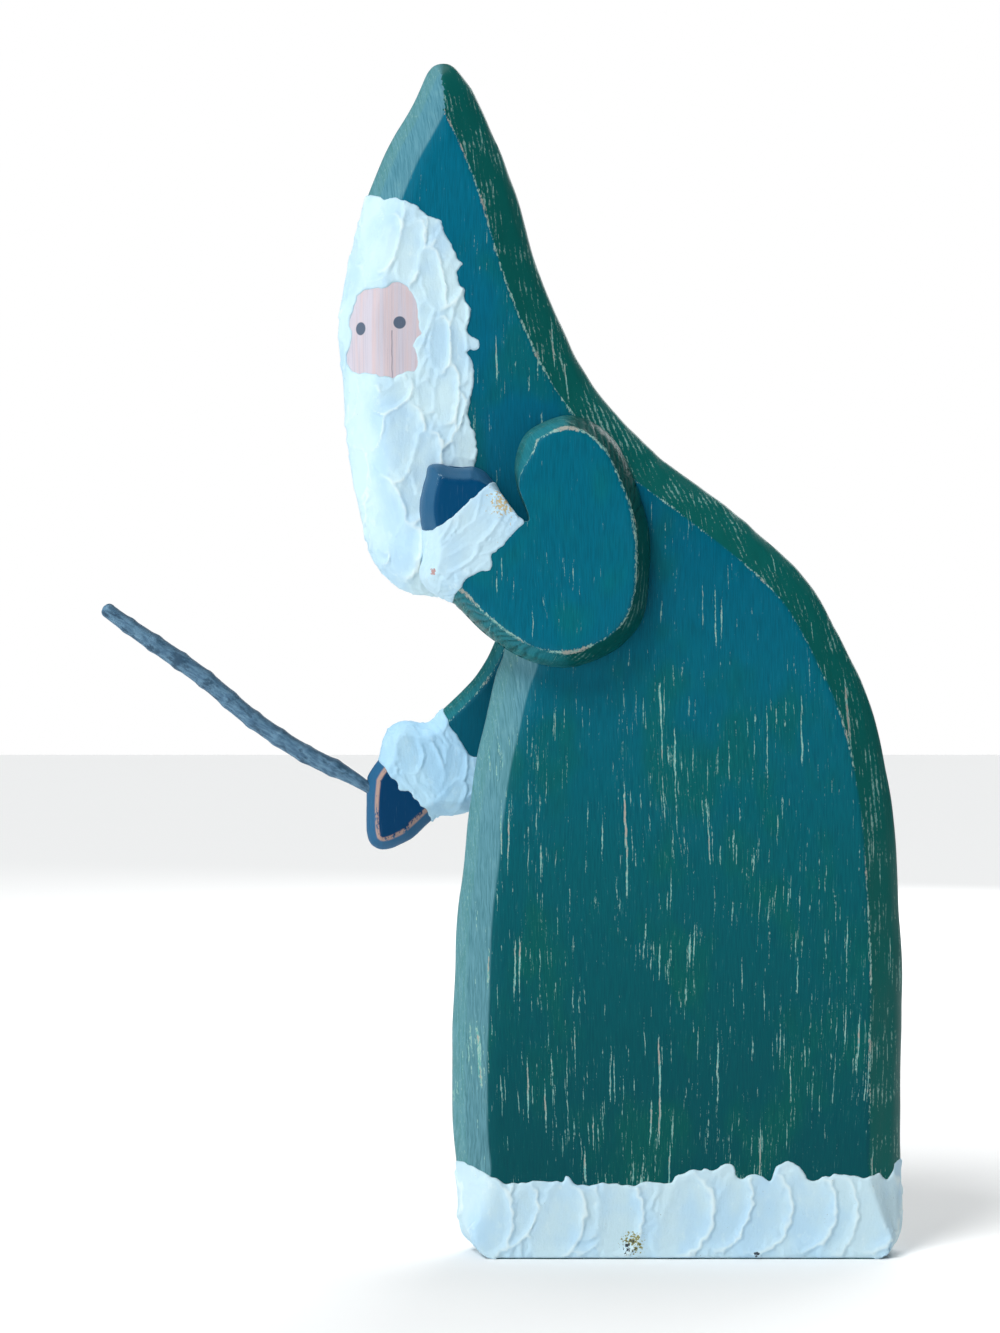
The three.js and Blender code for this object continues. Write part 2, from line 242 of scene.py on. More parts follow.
def boardGrid(board, step, lattice, within=None):  # one flat grid for both sides: edge rings, then a lattice
    step, lattice = step * coarse, np.array(lattice) * coarse
    ring = ringOf(board["node"], board["ringDepth"])
    outline = smoothLine(ring, step, closed=True)
    if "chamferStop" in board:
        outline[:, 1] = np.maximum(outline[:, 1], 0)
    span = max(1, round(2 / step))
    along = np.roll(outline, -span, 0) - np.roll(outline, span, 0)
    along /= np.linalg.norm(along, axis=1)[:, None]
    inward = np.column_stack([-along[:, 1], along[:, 0]])
    share = shareAt(board, outline, inward)
    reach = np.maximum(share, board.get("leastShare", 1))  # so that rings don't cross at a rounded corner
    edge = treeOf(smoothLine(ring, 0.5, closed=True))
    line, even = sectionLine(board["near"])
    last = board["edgeWidth"] + beyondEdge
    arc = np.interp([board["edgeWidth"] - 1.2, last], line[:, 0], even)
    stops = np.append(np.arange(step, arc[0] - step / 2, step * 1.15), np.linspace(arc[0], arc[1], 5))
    insets = np.interp(stops, even, line[:, 0])
    insets[-1] = last

    def ringAt(inset):
        places = outline + inward * (inset * reach)[:, None]
        fits = distanceTo(edge, places) > 0.975 * inset * reach
        return places, fits

    rimPlaces, rimFits = ringAt(last)
    kept = np.nonzero(rimFits)[0]
    domain, actual, depthIn, front = [outline], [outline], [np.zeros(len(outline))], [inward[:, 0]]
    domain.append(rimPlaces[kept])
    actual.append((outline + inward * (last * share)[:, None])[kept])
    depthIn.append(np.full(len(kept), last))
    front.append(inward[kept, 0])
    for inset in insets[:-1]:
        places, fits = ringAt(inset)
        if within is not None:
            fits &= within(places)
        domain.append(places[fits])
        actual.append((outline + inward * (inset * share)[:, None])[fits])
        depthIn.append(np.full(fits.sum(), inset))
        front.append(inward[fits, 0])
    domain, actual = np.vstack(domain), np.vstack(actual)
    depthIn, front = np.concatenate(depthIn), np.concatenate(front)

    outer = list(range(len(outline)))
    inner = list(range(len(outline), len(outline) + len(kept)))
    bandFaces = triangulate(domain, [outer, inner], lambda owners: 0 in owners and 1 not in owners)

    floor = actual[inner]
    dx, dz = lattice
    low, high = floor.min(0), floor.max(0)
    column, row = np.meshgrid(np.arange(low[0], high[0], dx), np.arange(low[1], high[1], dz))
    column[1::2] += dx / 2
    spots = np.column_stack([column.ravel(), row.ravel()])
    spots += np.random.default_rng(board["seed"]).uniform(-0.18, 0.18, spots.shape) * lattice
    if within is not None:
        spots = spots[within(spots)]
    spots = spots[insideOf(spots, floor)]
    toArris = distanceTo(treeOf(smoothLine(floor, 0.6, closed=True)), spots)
    spots, toArris = spots[toArris > 0.6 * dx], toArris[toArris > 0.6 * dx]
    start = len(actual)
    rimTree = treeOf(floor)
    spotFront = np.array([inward[kept[rimTree.find((*spot, 0))[1]], 0] for spot in spots])
    flatPlaces = np.vstack([floor, spots])
    flatFaces = triangulate(flatPlaces, [list(range(len(floor)))], lambda owners: 0 in owners)
    renumber = np.concatenate([inner, start + np.arange(len(spots))])
    return {
        "places": np.vstack([actual, spots]),
        "inset": np.concatenate([depthIn, last + toArris]),
        "front": np.concatenate([front, spotFront]),
        "rim": np.arange(start + len(spots)) < len(outline),
        "faces": np.vstack([bandFaces, renumber[flatFaces]]),
    }


def triangulate(places, loops, wanted):
    edges = [(a, b) for loop in loops for a, b in zip(loop, loop[1:] + loop[:1])]
    result = geometry.delaunay_2d_cdt([Vector(p) for p in places], edges, loops, 0, 1e-7, True)
    corners, faces, cornerOrigins, faceOrigins = result[0], result[2], result[3], result[5]
    known = treeOf(places)
    number = [o[0] if o else known.find((*c, 0))[1] for o, c in zip(cornerOrigins, corners)]
    chosen = [[number[v] for v in f] for f, owners in zip(faces, faceOrigins) if wanted(owners)]
    chosen = np.array([f for f in chosen if len(set(f)) == 3])
    a, b, c = (places[chosen[:, k]] for k in range(3))
    area = (b[:, 0] - a[:, 0]) * (c[:, 1] - a[:, 1]) - (b[:, 1] - a[:, 1]) * (c[:, 0] - a[:, 0])
    chosen[area < 0] = chosen[area < 0][:, ::-1]
    return chosen


def sawMarks(board, points, inset):  # 0 between the tool marks, up to 1 in them
    if "sawnFrom" not in board:
        return np.zeros(len(points))
    start, end = np.array(board["sawnFrom"], float), np.array(board["sawnTo"], float)
    length = np.linalg.norm(end - start)
    along = (points[:, [0, 2]] - start) @ (end - start) / length
    across = inset * 0.9 + 0.4 * wobble(points, 9, board["seed"] + 60)
    phase = ((along - across) / board["sawSpacing"] + 0.35 * wobble(points, 16, board["seed"] + 61)) % 1
    cut = np.clip(1 - np.abs(phase - 0.5) / 0.22, 0, 1) ** 1.5
    here = easeBetween(along, 0, 5) * (1 - easeBetween(along, length - 14, length))
    return cut * here * (1 - easeBetween(inset, board["edgeWidth"] - 2, board["edgeWidth"] + 0.5))


def uneven(board, points, normals, inset):  # the slight waviness of handwork, stronger on the cut edge
    onEdge = 1 - easeBetween(inset, board["edgeWidth"] - 1, board["edgeWidth"] + 8)
    height = wobble(points, 38, board["seed"]) * (0.35 + 0.65 * onEdge)
    height += 0.45 * wobble(points * [1, 1, 0.3], 8, board["seed"] + 40) * (0.25 + 0.75 * onEdge)
    if "chamferStop" in board:
        height *= easeBetween(points[:, 2], 0, 8)
    height = height * board["unevenness"] - sawMarks(board, points, inset) * board.get("sawDepth", 0)
    return points + normals * height[:, None]


def boardSides(board, grid):  # the near and the far face of a board over one grid
    softness = easeBetween(grid["front"], -0.2, 0.5)
    sides = []
    for side in ("near", "far"):
        crisp, _ = sectionLine(board[side])
        soft, _ = sectionLine(board[side], board.get("softFront", edgeRounding))
        depth = np.interp(grid["inset"], crisp[:, 0], crisp[:, 1]) * (1 - softness)
        depth += np.interp(grid["inset"], soft[:, 0], soft[:, 1]) * softness
        depth[grid["rim"]] = board["ringDepth"]
        sides.append(np.column_stack([grid["places"][:, 0], depth, grid["places"][:, 1]]))
    return sides


def wholeBoard(board, grid):
    near, far = boardSides(board, grid)
    count = len(near)
    behind = np.where(grid["rim"], np.arange(count), np.arange(count) + count)
    triangles = np.vstack([grid["faces"], behind[grid["faces"]][:, ::-1]])
    inset, front = np.tile(grid["inset"], 2), np.tile(grid["front"], 2)
    points, triangles, inset, front = usedOnly(np.vstack([near, far]), triangles, inset, front)
    sawn = sawMarks(board, points, inset)
    points = uneven(board, points, vertexNormals(points, triangles), inset)
    return points, triangles, inset, front, sawn


# Materials, from a few short tools for node trees

def put(tree, kind, inputs=None, **settings):
    node = tree.nodes.new(kind)
    for key, value in settings.items():
        setattr(node, key, value)
    for key, value in (inputs or {}).items():
        if isinstance(value, bpy.types.NodeSocket):
            tree.links.new(value, node.inputs[key])
        else:
            node.inputs[key].default_value = value
    return node


def calc(tree, operation, *values, clamp=False):
    return put(tree, "ShaderNodeMath", dict(enumerate(values)), operation=operation, use_clamp=clamp).outputs[0]


def spread(tree, value, low, high, toLow=0.0, toHigh=1.0, smooth=True):
    node = put(tree, "ShaderNodeMapRange", {0: value, 1: low, 2: high, 3: toLow, 4: toHigh})
    node.interpolation_type = "SMOOTHSTEP" if smooth else "LINEAR"
    return node.outputs[0]


def tone(hexColour):
    channels = [int(hexColour[i:i + 2], 16) / 255 for i in (0, 2, 4)]
    return [c / 12.92 if c <= 0.04045 else ((c + 0.055) / 1.055) ** 2.4 for c in channels] + [1]


def blendTones(tree, share, first, second, mode="MIX"):
    node = tree.nodes.new("ShaderNodeMix")
    node.data_type, node.blend_type = "RGBA", mode
    for socket, value in ((node.inputs[0], share), (node.inputs[6], first), (node.inputs[7], second)):
        if isinstance(value, bpy.types.NodeSocket):
            tree.links.new(value, socket)
        else:
            socket.default_value = tone(value) if isinstance(value, str) else value
    return node.outputs[2]


def toneRamp(tree, value, stops):
    node = put(tree, "ShaderNodeValToRGB", {0: value})
    ramp = node.color_ramp
    while len(ramp.elements) < len(stops):
        ramp.elements.new(0.5)
    for element, (place, colour) in zip(ramp.elements, stops):
        element.position = place
        element.color = tone(colour)
    return node.outputs[0]


def noiseOf(tree, place, sizes, shift=0.0, detail=3.0, roughness=0.55):  # forms of the given sizes, in mm
    parts = {0: place, 1: [1 / size for size in sizes], 2: [shift] * 3}
    scaled = put(tree, "ShaderNodeVectorMath", parts, operation="MULTIPLY_ADD").outputs[0]
    settings = {"Vector": scaled, "Scale": 1.0, "Detail": detail, "Roughness": roughness}
    return put(tree, "ShaderNodeTexNoise", settings, noise_dimensions="3D").outputs[0]


def newMaterial(name, colour):  # a material, its tree and shader, and the place on the object in mm
    material = bpy.data.materials.new(name)
    material.use_nodes = True
    material.diffuse_color = tone(colour)
    tree = material.node_tree
    tree.nodes.clear()
    shader = put(tree, "ShaderNodeBsdfPrincipled")
    output = put(tree, "ShaderNodeOutputMaterial")
    tree.links.new(shader.outputs[0], output.inputs[0])
    where = put(tree, "ShaderNodeTexCoord").outputs["Object"]
    inMm = put(tree, "ShaderNodeVectorMath", {0: where, 3: 1 / mm}, operation="SCALE").outputs[0]
    return material, tree, shader, inMm


def attributeOf(tree, name):
    return put(tree, "ShaderNodeAttribute", attribute_name=name).outputs["Fac"]


def raise_(tree, shader, height, distance, strength=1.0):
    bump = put(tree, "ShaderNodeBump", {"Height": height, "Distance": distance * mm, "Strength": strength})
    tree.links.new(bump.outputs[0], shader.inputs["Normal"])


def partsOf(tree, vector):
    return put(tree, "ShaderNodeSeparateXYZ", {0: vector}).outputs


def joined(tree, *parts):
    return put(tree, "ShaderNodeCombineXYZ", dict(enumerate(parts))).outputs[0]


def total(tree, *terms):  # adds up values, or pairs of a value and its weight
    result = 0.0
    for term in terms:
        value, weight = term if isinstance(term, tuple) else (term, 1.0)
        result = calc(tree, "MULTIPLY_ADD", value, weight, result)
    return result


def nearTo(tree, place, centre, reach):  # 1 at a centre given as x, z, falling to 0 at its reach in x and z
    x, y, z = partsOf(tree, place)
    away = joined(tree, total(tree, (x, 1 / reach[0]), -centre[0] / reach[0]), 0.0,
                  total(tree, (z, 1 / reach[1]), -centre[1] / reach[1]))
    length = put(tree, "ShaderNodeVectorMath", {0: away}, operation="LENGTH").outputs["Value"]
    return spread(tree, length, 1.0, 0.0)


robePaint = {
    "name": "wornRobePaint",
    "tones": [(40, "034d53"), (110, "03535a"), (200, "045c66"), (300, "03657b"), (400, "01607c"), (540, "026a85")],
    "green": "07604f",
    # edge: greener paint on the worked edges away from the front, darkened there as painted shade
    "edge": "0a5c58", "nose": "2b6d68", "edgeReach": 18.5, "noseReach": 6.4,
    # sheen: a painted sheen, the pale reflection of the light at the left on the front chamfer
    "sheen": "6c9fad",
    "undercoat": "93b9b0", "thinUndercoat": "5fa3a0", "bareWood": "ab8f86",
    "wear": -0.018, "footWear": 0.03,
    "arrisWear": 0.44, "arrisWidth": 1.5, "frontArris": 0.0,
    "ringWear": 0.75,
    "rubbedAt": [  # centre x, z, reach x, z and how much more is rubbed there
        ((-8, 245), (30, 70), 0.030), ((78, 310), (26, 60), 0.030), ((-74, 250), (9, 110), 0.045),
        ((-30, 225), (7, 110), 0.045), ((80, 120), (40, 60), 0.02),
    ],
}
sleevePaint = {
    "name": "wornSleevePaint",
    "tones": [(300, "01677f"), (400, "01677f")],
    "green": "066f6b",
    # edge and nose: dark green on the sleeve's edges, partly painted shade on the edges facing down and away from the
    # light
    "edge": "044a48", "nose": "04403f", "edgeReach": 8.0, "noseReach": 3.0,
    # sheen: a painted sheen on the sleeve's front edges
    "sheen": "2f7f86",
    "undercoat": "93b9b0", "thinUndercoat": "5fa3a0", "bareWood": "ab8f86",
    "wear": -0.06, "footWear": 0.0,
    "arrisWear": 0.56, "arrisWidth": 1.9, "frontArris": 1.0,
    "ringWear": 0.3,
    "rubbedAt": [((-64, 340), (26, 40), 0.075), ((-95, 330), (22, 26), 0.05)],
}


def wornPaint(look, paintOver=None):
    material, tree, shader, place = newMaterial(look["name"], look["tones"][-1][1])
    x, y, z = partsOf(tree, place)
    inset, front, sawn = (attributeOf(tree, name) for name in ("inset", "front", "sawn"))

    # the grain runs upright, and the growth rings are planes of nearly constant x + 1.1 y
    drift = noiseOf(tree, place, (60, 60, 140), detail=1)
    jitter = noiseOf(tree, place, (4.5, 4.5, 7), 3, 2)
    ring = total(tree, x, (y, 1.1), (drift, 11.0), (jitter, 1.3))
    grain = joined(tree, total(tree, ring, (y, -0.8)), 0.0, z)
    bold = noiseOf(tree, grain, (2.2, 1, 60), 0, 2, 0.5)
    middle = noiseOf(tree, grain, (1.15, 1, 24), 20, 2, 0.5)
    hair = noiseOf(tree, grain, (0.55, 1, 13), 40, 2, 0.6)
    grit = noiseOf(tree, place, (1.0, 1.0, 2.2), 5, 4, 0.7)
    patches = noiseOf(tree, place, (34, 34, 52), 9, 2)
    blots = noiseOf(tree, place, (13, 13, 18), 14, 2)

    height = spread(tree, z, look["tones"][0][0], look["tones"][-1][0], smooth=False)
    low, high = look["tones"][0][0], look["tones"][-1][0]
    paint = toneRamp(tree, height, [((at - low) / (high - low), colour) for at, colour in look["tones"]])
    paint = blendTones(tree, spread(tree, patches, 0.50, 0.70, 0, 0.45), paint, look["green"])
    paint = blendTones(tree, spread(tree, hair, 0.62, 0.32, 0, 0.35), paint, "013b4b")
    atFront = spread(tree, front, -0.2, 0.35)
    onEdge = spread(tree, inset, look["edgeReach"] + 0.3, look["edgeReach"] - 1.3)
    onNose = spread(tree, inset, look["noseReach"] + 1.0, look["noseReach"] - 0.8)
    # greener, darker edges away from the front: partly two-tone paint, partly painted shade on the side away from the
    # light
    edgeGreenAndShade = calc(tree, "MULTIPLY", onEdge, total(tree, 1.0, (atFront, -0.85)))
    paint = blendTones(tree, edgeGreenAndShade, paint, look["edge"])
    paint = blendTones(tree, calc(tree, "MULTIPLY", onNose, atFront), paint, look["nose"])
    # painted sheen: a pale streaky reflection on the front edges, painted into the colour
    paintedSheenMask = calc(tree, "MULTIPLY", calc(tree, "MULTIPLY", onEdge, atFront), spread(tree, hair, 0.3, 0.7, 0.4, 0.75))
    paint = blendTones(tree, paintedSheenMask, paint, look["sheen"])
    paint = blendTones(tree, calc(tree, "MULTIPLY", sawn, 0.85), paint, "02302f")

    # rubbed through to the pale undercoat, more towards the foot, and here and there to the wood
    more = total(tree, (spread(tree, z, 70, 400, look["footWear"], 0.0, smooth=False), 1.0), (patches, 0.16), -0.08,
                 look["wear"])
    for centre, reach, amount in look["rubbedAt"]:
        more = total(tree, more, (nearTo(tree, place, centre, reach), amount))
    ragged = total(tree, grit, -0.5)
    deep = total(tree, bold, more, (ragged, 0.15))
    boldWear = spread(tree, deep, 0.665, 0.70)
    middleWear = spread(tree, total(tree, middle, more, (ragged, 0.28)), 0.665, 0.72, 0, 0.8)
    hairWear = spread(tree, total(tree, hair, (more, 1.2), (ragged, 0.35)), 0.65, 0.80, 0, 0.32)
    dots = spread(tree, total(tree, grit, (more, 0.9), (blots, 0.12), -0.06), 0.72, 0.77, 0, 0.7)
    fromArris = calc(tree, "ABSOLUTE", total(tree, inset, 0.4 - look["edgeReach"]))
    line = spread(tree, fromArris, look["arrisWidth"], 0.0)
    line = calc(tree, "MULTIPLY", line, total(tree, 1.0, (atFront, look["frontArris"] - 1.0)))
    arris = total(tree, (line, look["arrisWear"]), (ragged, 1.7), (patches, 0.9), -0.45, (blots, 0.9), -0.45)
    arris = calc(tree, "MULTIPLY", spread(tree, arris, 0.40, 0.62, 0, 0.95), spread(tree, line, 0.0, 0.25))
    wave = calc(tree, "SINE", calc(tree, "MULTIPLY", ring, 2 * math.pi / 4.7))
    ridged = total(tree, (wave, 0.13), (blots, 0.9), (ragged, 0.8), (hair, 0.5), -0.25)
    ridged = calc(tree, "MULTIPLY", spread(tree, ridged, 0.60, 0.78, 0, look["ringWear"]), edgeGreenAndShade)
    speckled = calc(tree, "MULTIPLY", spread(tree, grit, 0.54, 0.68, 0, 0.4), calc(tree, "MULTIPLY", onNose, atFront))
    wear = boldWear
    for other in (middleWear, hairWear, dots, arris, ridged, speckled):
        wear = calc(tree, "MAXIMUM", wear, other)
    undercoat = blendTones(tree, spread(tree, grit, 0.42, 0.60), look["thinUndercoat"], look["undercoat"])
    paint = blendTones(tree, wear, paint, undercoat)
    bare = calc(tree, "MAXIMUM", calc(tree, "MULTIPLY", spread(tree, deep, 0.70, 0.735), spread(tree, blots, 0.48, 0.56)),
                calc(tree, "MULTIPLY", spread(tree, blots, 0.55, 0.65), calc(tree, "MULTIPLY", arris, 0.8)))
    paint = blendTones(tree, calc(tree, "MULTIPLY", bare, 0.75), paint, look["bareWood"])
    if paintOver:
        paint = paintOver(tree, place, paint, {"grit": grit, "hair": hair, "blots": blots, "inset": inset})
    tree.links.new(paint, shader.inputs["Base Color"])
    shader.inputs["Specular IOR Level"].default_value = 0.07
    tree.links.new(spread(tree, total(tree, wear, (patches, 0.3)), 0.1, 1.1, 0.34, 0.7), shader.inputs["Roughness"])
    relief = total(tree, (hair, 0.35), (middle, 0.4), (grit, 0.2), (wear, -0.45))
    raise_(tree, shader, relief, 0.22)
    return material


facePaint = {
    "skin": "c9c5d1", "flush": "cfc0c5", "shade": "b9b5c3", "crack": "8d8896", "eye": "59677b",
    "low": (-180, 442), "high": (-127, 497),
    "eyes": [(-162.3, 470.4, 2.5, 3.3), (-142.4, 472.9, 3.15, 3.15)],  # x, z and reach in x and z
    "crackX": -146.2, "crackLow": 445, "crackHigh": 469,
}


def paintFace(tree, place, paint, noises):
    look = facePaint
    x, y, z = partsOf(tree, place)

    def between(value, low, high):
        return calc(tree, "MULTIPLY", calc(tree, "GREATER_THAN", value, low), calc(tree, "LESS_THAN", value, high))

    (lowX, lowZ), (highX, highZ) = look["low"], look["high"]
    onFace = calc(tree, "MULTIPLY", between(x, lowX, highX), between(z, lowZ, highZ))
    onFace = calc(tree, "MULTIPLY", onFace, calc(tree, "LESS_THAN", y, -2.5))
    bands = noiseOf(tree, place, (3.2, 9, 90), 2, 3, 0.6)
    lines = noiseOf(tree, place, (0.8, 5, 60), 6, 2, 0.6)
    skin = blendTones(tree, spread(tree, bands, 0.38, 0.62), look["skin"], look["flush"])
    skin = blendTones(tree, spread(tree, lines, 0.52, 0.70, 0, 0.6), skin, look["shade"])
    wander = total(tree, x, (noiseOf(tree, place, (6, 6, 9), 1, 2), 1.0), -0.5 - look["crackX"])
    crack = calc(tree, "MULTIPLY", spread(tree, calc(tree, "ABSOLUTE", wander), 0.45, 0.1, 0, 0.85),
                 between(z, look["crackLow"], look["crackHigh"]))
    skin = blendTones(tree, crack, skin, look["crack"])
    for eyeX, eyeZ, reachX, reachZ in look["eyes"]:
        disc = nearTo(tree, place, (eyeX, eyeZ), (2 * reachX, 2 * reachZ))
        skin = blendTones(tree, spread(tree, disc, 0.44, 0.56), skin, look["eye"])
    return blendTones(tree, onFace, paint, skin)


mittens = {  # the paint line runs hidden under the cuff, as x, z points
    # edge: a paler blue on the mitten's worked edges, a painted sheen
    "near": {"from": (-125, 362), "to": (-84, 388), "tone": "01446d", "edge": "2d5e82", "reach": 8.0,
             "worn": "86a5b8", "wornAt": 0.60, "beyond": -86.5},
    # far: a darker navy than the near mitten, painted shade on the arm set back behind the body
    "far": {"from": (-112, 212), "to": (-150, 276), "tone": "01385f", "edge": "2c6086", "reach": 6.5,
            "worn": "a99088", "wornAt": 0.44, "beyond": -100},
}


def paintMitten(side):
    look = mittens[side]

    def paintOver(tree, place, paint, noises):
        x, y, z = partsOf(tree, place)
        alongX, alongZ = look["to"][0] - look["from"][0], look["to"][1] - look["from"][1]
        across = total(tree, (z, alongX), (x, -alongZ), look["from"][0] * alongZ - look["from"][1] * alongX)
        onMitten = calc(tree, "MULTIPLY", calc(tree, "GREATER_THAN", across, 0.0),
                        calc(tree, "LESS_THAN", x, look["beyond"]))
        inset = noises["inset"]
        # the paler blue on the edges is a painted sheen
        onEdge = spread(tree, inset, look["reach"] + 0.3, look["reach"] - 1.2)
        navy = blendTones(tree, onEdge, look["tone"], look["edge"])
        navy = blendTones(tree, spread(tree, noises["hair"], 0.6, 0.8, 0, 0.3), navy, "6f93ad")
        fromArris = calc(tree, "ABSOLUTE", total(tree, inset, 0.6 - look["reach"]))
        rubbed = calc(tree, "MULTIPLY", spread(tree, fromArris, 1.6, 0.6),
                      spread(tree, total(tree, (noises["grit"], 0.5), (noises["blots"], 0.5)),
                             look["wornAt"], look["wornAt"] + 0.06))
        navy = blendTones(tree, rubbed, navy, look["worn"])
        return blendTones(tree, onMitten, paint, navy)

    return paintOver


# The body board and the two arms

print("boards")
robeMaterial = wornPaint(robePaint, paintFace)
nearSleeve = wornPaint(sleevePaint, paintMitten("near"))
# the far arm's copy of the sleeve paint, darker: painted shade on the arm set back behind the body
farSleeve = wornPaint({**sleevePaint, "name": "farSleevePaintShaded", "edgeReach": 6.5, "rubbedAt": [],
                       "tones": [(250, "02566c"), (300, "02566c")]}, paintMitten("far"))
for board, material, slot in (
    (bodyBoard, robeMaterial, "robe_paint"),
    (nearArmBoard, nearSleeve, "sleeve_paint"),
    (farArmBoard, farSleeve, "sleeve_paint"),
):
    grid = boardGrid(board, board["step"], board["lattice"])
    points, triangles, inset, front, sawn = wholeBoard(board, grid)
    piece = makePiece(board["node"] + "_painted", points, triangles, material,
                      inset=inset, front=front, sawn=sawn)
    handOver(piece, board["node"])


# Texture paste: a sheet over part of a board, dabbed on with a brush

hoodPaste = {
    "node": "hood_fur_and_beard",
    "board": bodyBoard,
    "border": [
        (-176, 542), (-160, 540), (-154.8, 538.8), (-150.3, 536.3), (-144.2, 536.3), (-141.2, 534.8),
        (-135.1, 532.7), (-128.1, 526.7), (-121.5, 524.1), (-120.5, 520.6), (-114.4, 508), (-112.2, 503.9),
        (-110.6, 503), (-110.6, 501.8), (-112.9, 499.9), (-112.4, 492.8), (-109.9, 489.3), (-109.9, 486.3),
        (-106.8, 480.2), (-107.4, 474.2), (-107.9, 468.1), (-102.3, 463.6), (-102.0, 461), (-103.8, 459.2),
        (-108.4, 458.5), (-105.3, 451.9), (-104.8, 447.4), (-106.3, 434.8), (-107.9, 426.2), (-103.8, 414.6),
        (-103.3, 406.5), (-104.3, 399), (-104.5, 378), (-112, 358), (-118, 346), (-121, 325),
        (-150, 310), (-200, 330), (-200, 540),
    ],
    "farBorder": [
        (-176, 540), (-160, 541), (-150, 537), (-141, 536), (-131, 529), (-121, 523), (-116, 510),
        (-113, 500), (-110, 489), (-108, 476), (-105, 464), (-107, 452), (-105, 441), (-108, 428),
        (-104, 414), (-105, 399), (-104, 380), (-111, 360), (-116, 346), (-120, 325), (-150, 310),
        (-200, 330), (-200, 540),
    ],
    "openings": [
        [(-163.4, 488.3), (-155.8, 490.8), (-149.3, 490.8), (-144.2, 493.3), (-138.2, 490.8), (-135.1, 485.3),
         (-133.6, 479.2), (-132.6, 470.6), (-131.6, 467.1), (-134.6, 463.1), (-134.6, 458), (-133.1, 454),
         (-133.6, 449.4), (-139.2, 447.9), (-146.7, 444.9), (-151.3, 445.9), (-156.8, 447.4), (-163.9, 448.4),
         (-168.4, 450.4), (-169.4, 456.5), (-167.7, 464.1), (-167.5, 477.2), (-165.6, 483.7)],
    ],
    "tuckedUnder": (nearArmBoard, 2.5),
    "step": 0.95,
    "dabs": 420,
    "dabLength": (16, 38),
    "dabWidth": (7, 14),
    "heading": (0.08, 1.0),
    "headingSpread": 0.30,
    "placed": [  # x, z, heading x, heading z, length, width, bend
        (-143, 412, 0.30, 1.0, 46, 22, 1.6), (-138, 384, 0.75, 1.0, 34, 20, 2.0), (-127, 402, 0.1, 1.0, 36, 16, -1.5),
        (-118, 436, 0.05, 1.0, 34, 14, -1.2), (-150, 377, -0.25, 1.0, 40, 16, 1.2), (-142, 356, 0.35, 1.0, 30, 16, 1.5),
        (-150, 514, 0.25, 1.0, 34, 13, 1.0), (-136, 508, 0.2, 1.0, 36, 14, -1.0), (-124, 495, -0.2, 1.0, 34, 13, -1.2),
        (-121, 462, 0.0, 1.0, 30, 12, -1.0), (-160, 425, 0.1, 1.0, 36, 13, 1.0), (-146, 436, 0.7, 0.5, 26, 12, 1.0),
    ],
    "thickness": 0.75,
    "rimHeight": 1.05,
    "seed": 21,
}
hemPaste = {
    "node": "hem_fur",
    "board": bodyBoard,
    "border": [
        (-135, 47), (-114.4, 47), (-109.9, 46.5), (-101.8, 44), (-88.2, 38.4), (-75.5, 39.4), (-60.4, 39.4),
        (-57.9, 41.6), (-52.3, 37.4), (-38.7, 38.4), (-26.1, 36.9), (-17, 39.4), (-5.9, 38.4), (-2.8, 41.6),
        (6.3, 45), (16.9, 45.5), (23.4, 48.3), (26.5, 46.5), (28.2, 40.7), (37.1, 42.9), (45.1, 39.9),
        (47.6, 46.3), (55.7, 48.7), (61.8, 44), (64.3, 39.9), (75.9, 42.4), (86.5, 42.4), (91.1, 40.9),
        (100.7, 42.4), (104.2, 38.4), (110.8, 47), (135, 48), (135, -5), (-135, -5),
    ],
    "openings": [],
    "step": 0.95,
    "dabs": 330,
    "dabLength": (22, 40),
    "dabWidth": (11, 20),
    "heading": (0.25, 1.0),
    "headingSpread": 0.25,
    "placed": [
        (104, 22, 0.1, 1.0, 44, 22, 3.0), (95, 24, 0.28, 1.0, 46, 27, 4.0), (77, 22, 0.15, 1.0, 44, 20, 2.5),
        (60, 25, 0.15, 1.0, 46, 29, 4.5), (38, 24, 0.35, 1.0, 46, 27, 5.0), (22, 24, 0.42, 1.0, 46, 20, 3.0),
        (-2, 22, 0.40, 1.0, 48, 28, 5.0), (-34, 22, 0.05, 1.0, 46, 24, 3.5), (-64, 20, 0.32, 1.0, 46, 25, 4.0),
        (-83, 22, 0.45, 1.0, 36, 14, 3.0), (-98, 20, 0.05, 1.0, 44, 20, 3.5),
    ],
    "thickness": 0.7,
    "rimHeight": 1.05,
    "seed": 22,
}
nearCuffPaste = {
    "node": "near_cuff_fur",
    "board": nearArmBoard,
    "border": [
        (-150, 366), (-137, 367), (-130.1, 368.3), (-125.1, 367.8), (-118.6, 371.8), (-112.7, 375.8),
        (-107.2, 381.8), (-100.7, 387.7), (-95.5, 391.6), (-92, 395), (-87.5, 392), (-84.5, 383.5), (-80.5, 375),
        (-79.6, 371.8), (-83.2, 367.5), (-89.7, 360.3), (-95.7, 355.3), (-96.2, 348.8), (-107.2, 343.8),
        (-110.2, 340.4), (-115.1, 332.4), (-120, 324), (-150, 324),
    ],
    "openings": [],
    "nearOnly": True,
    "step": 0.7,
    "dabs": 90,
    "dabLength": (12, 30),
    "dabWidth": (5, 10),
    "heading": (0.72, 0.62),
    "headingSpread": 0.35,
    "placed": [(-107, 364, 0.74, 0.6, 40, 12, 0.8), (-113, 353, 0.8, 0.5, 26, 9, 0.6)],
    "thickness": 0.7,
    "rimHeight": 0.75,
    "seed": 23,
}
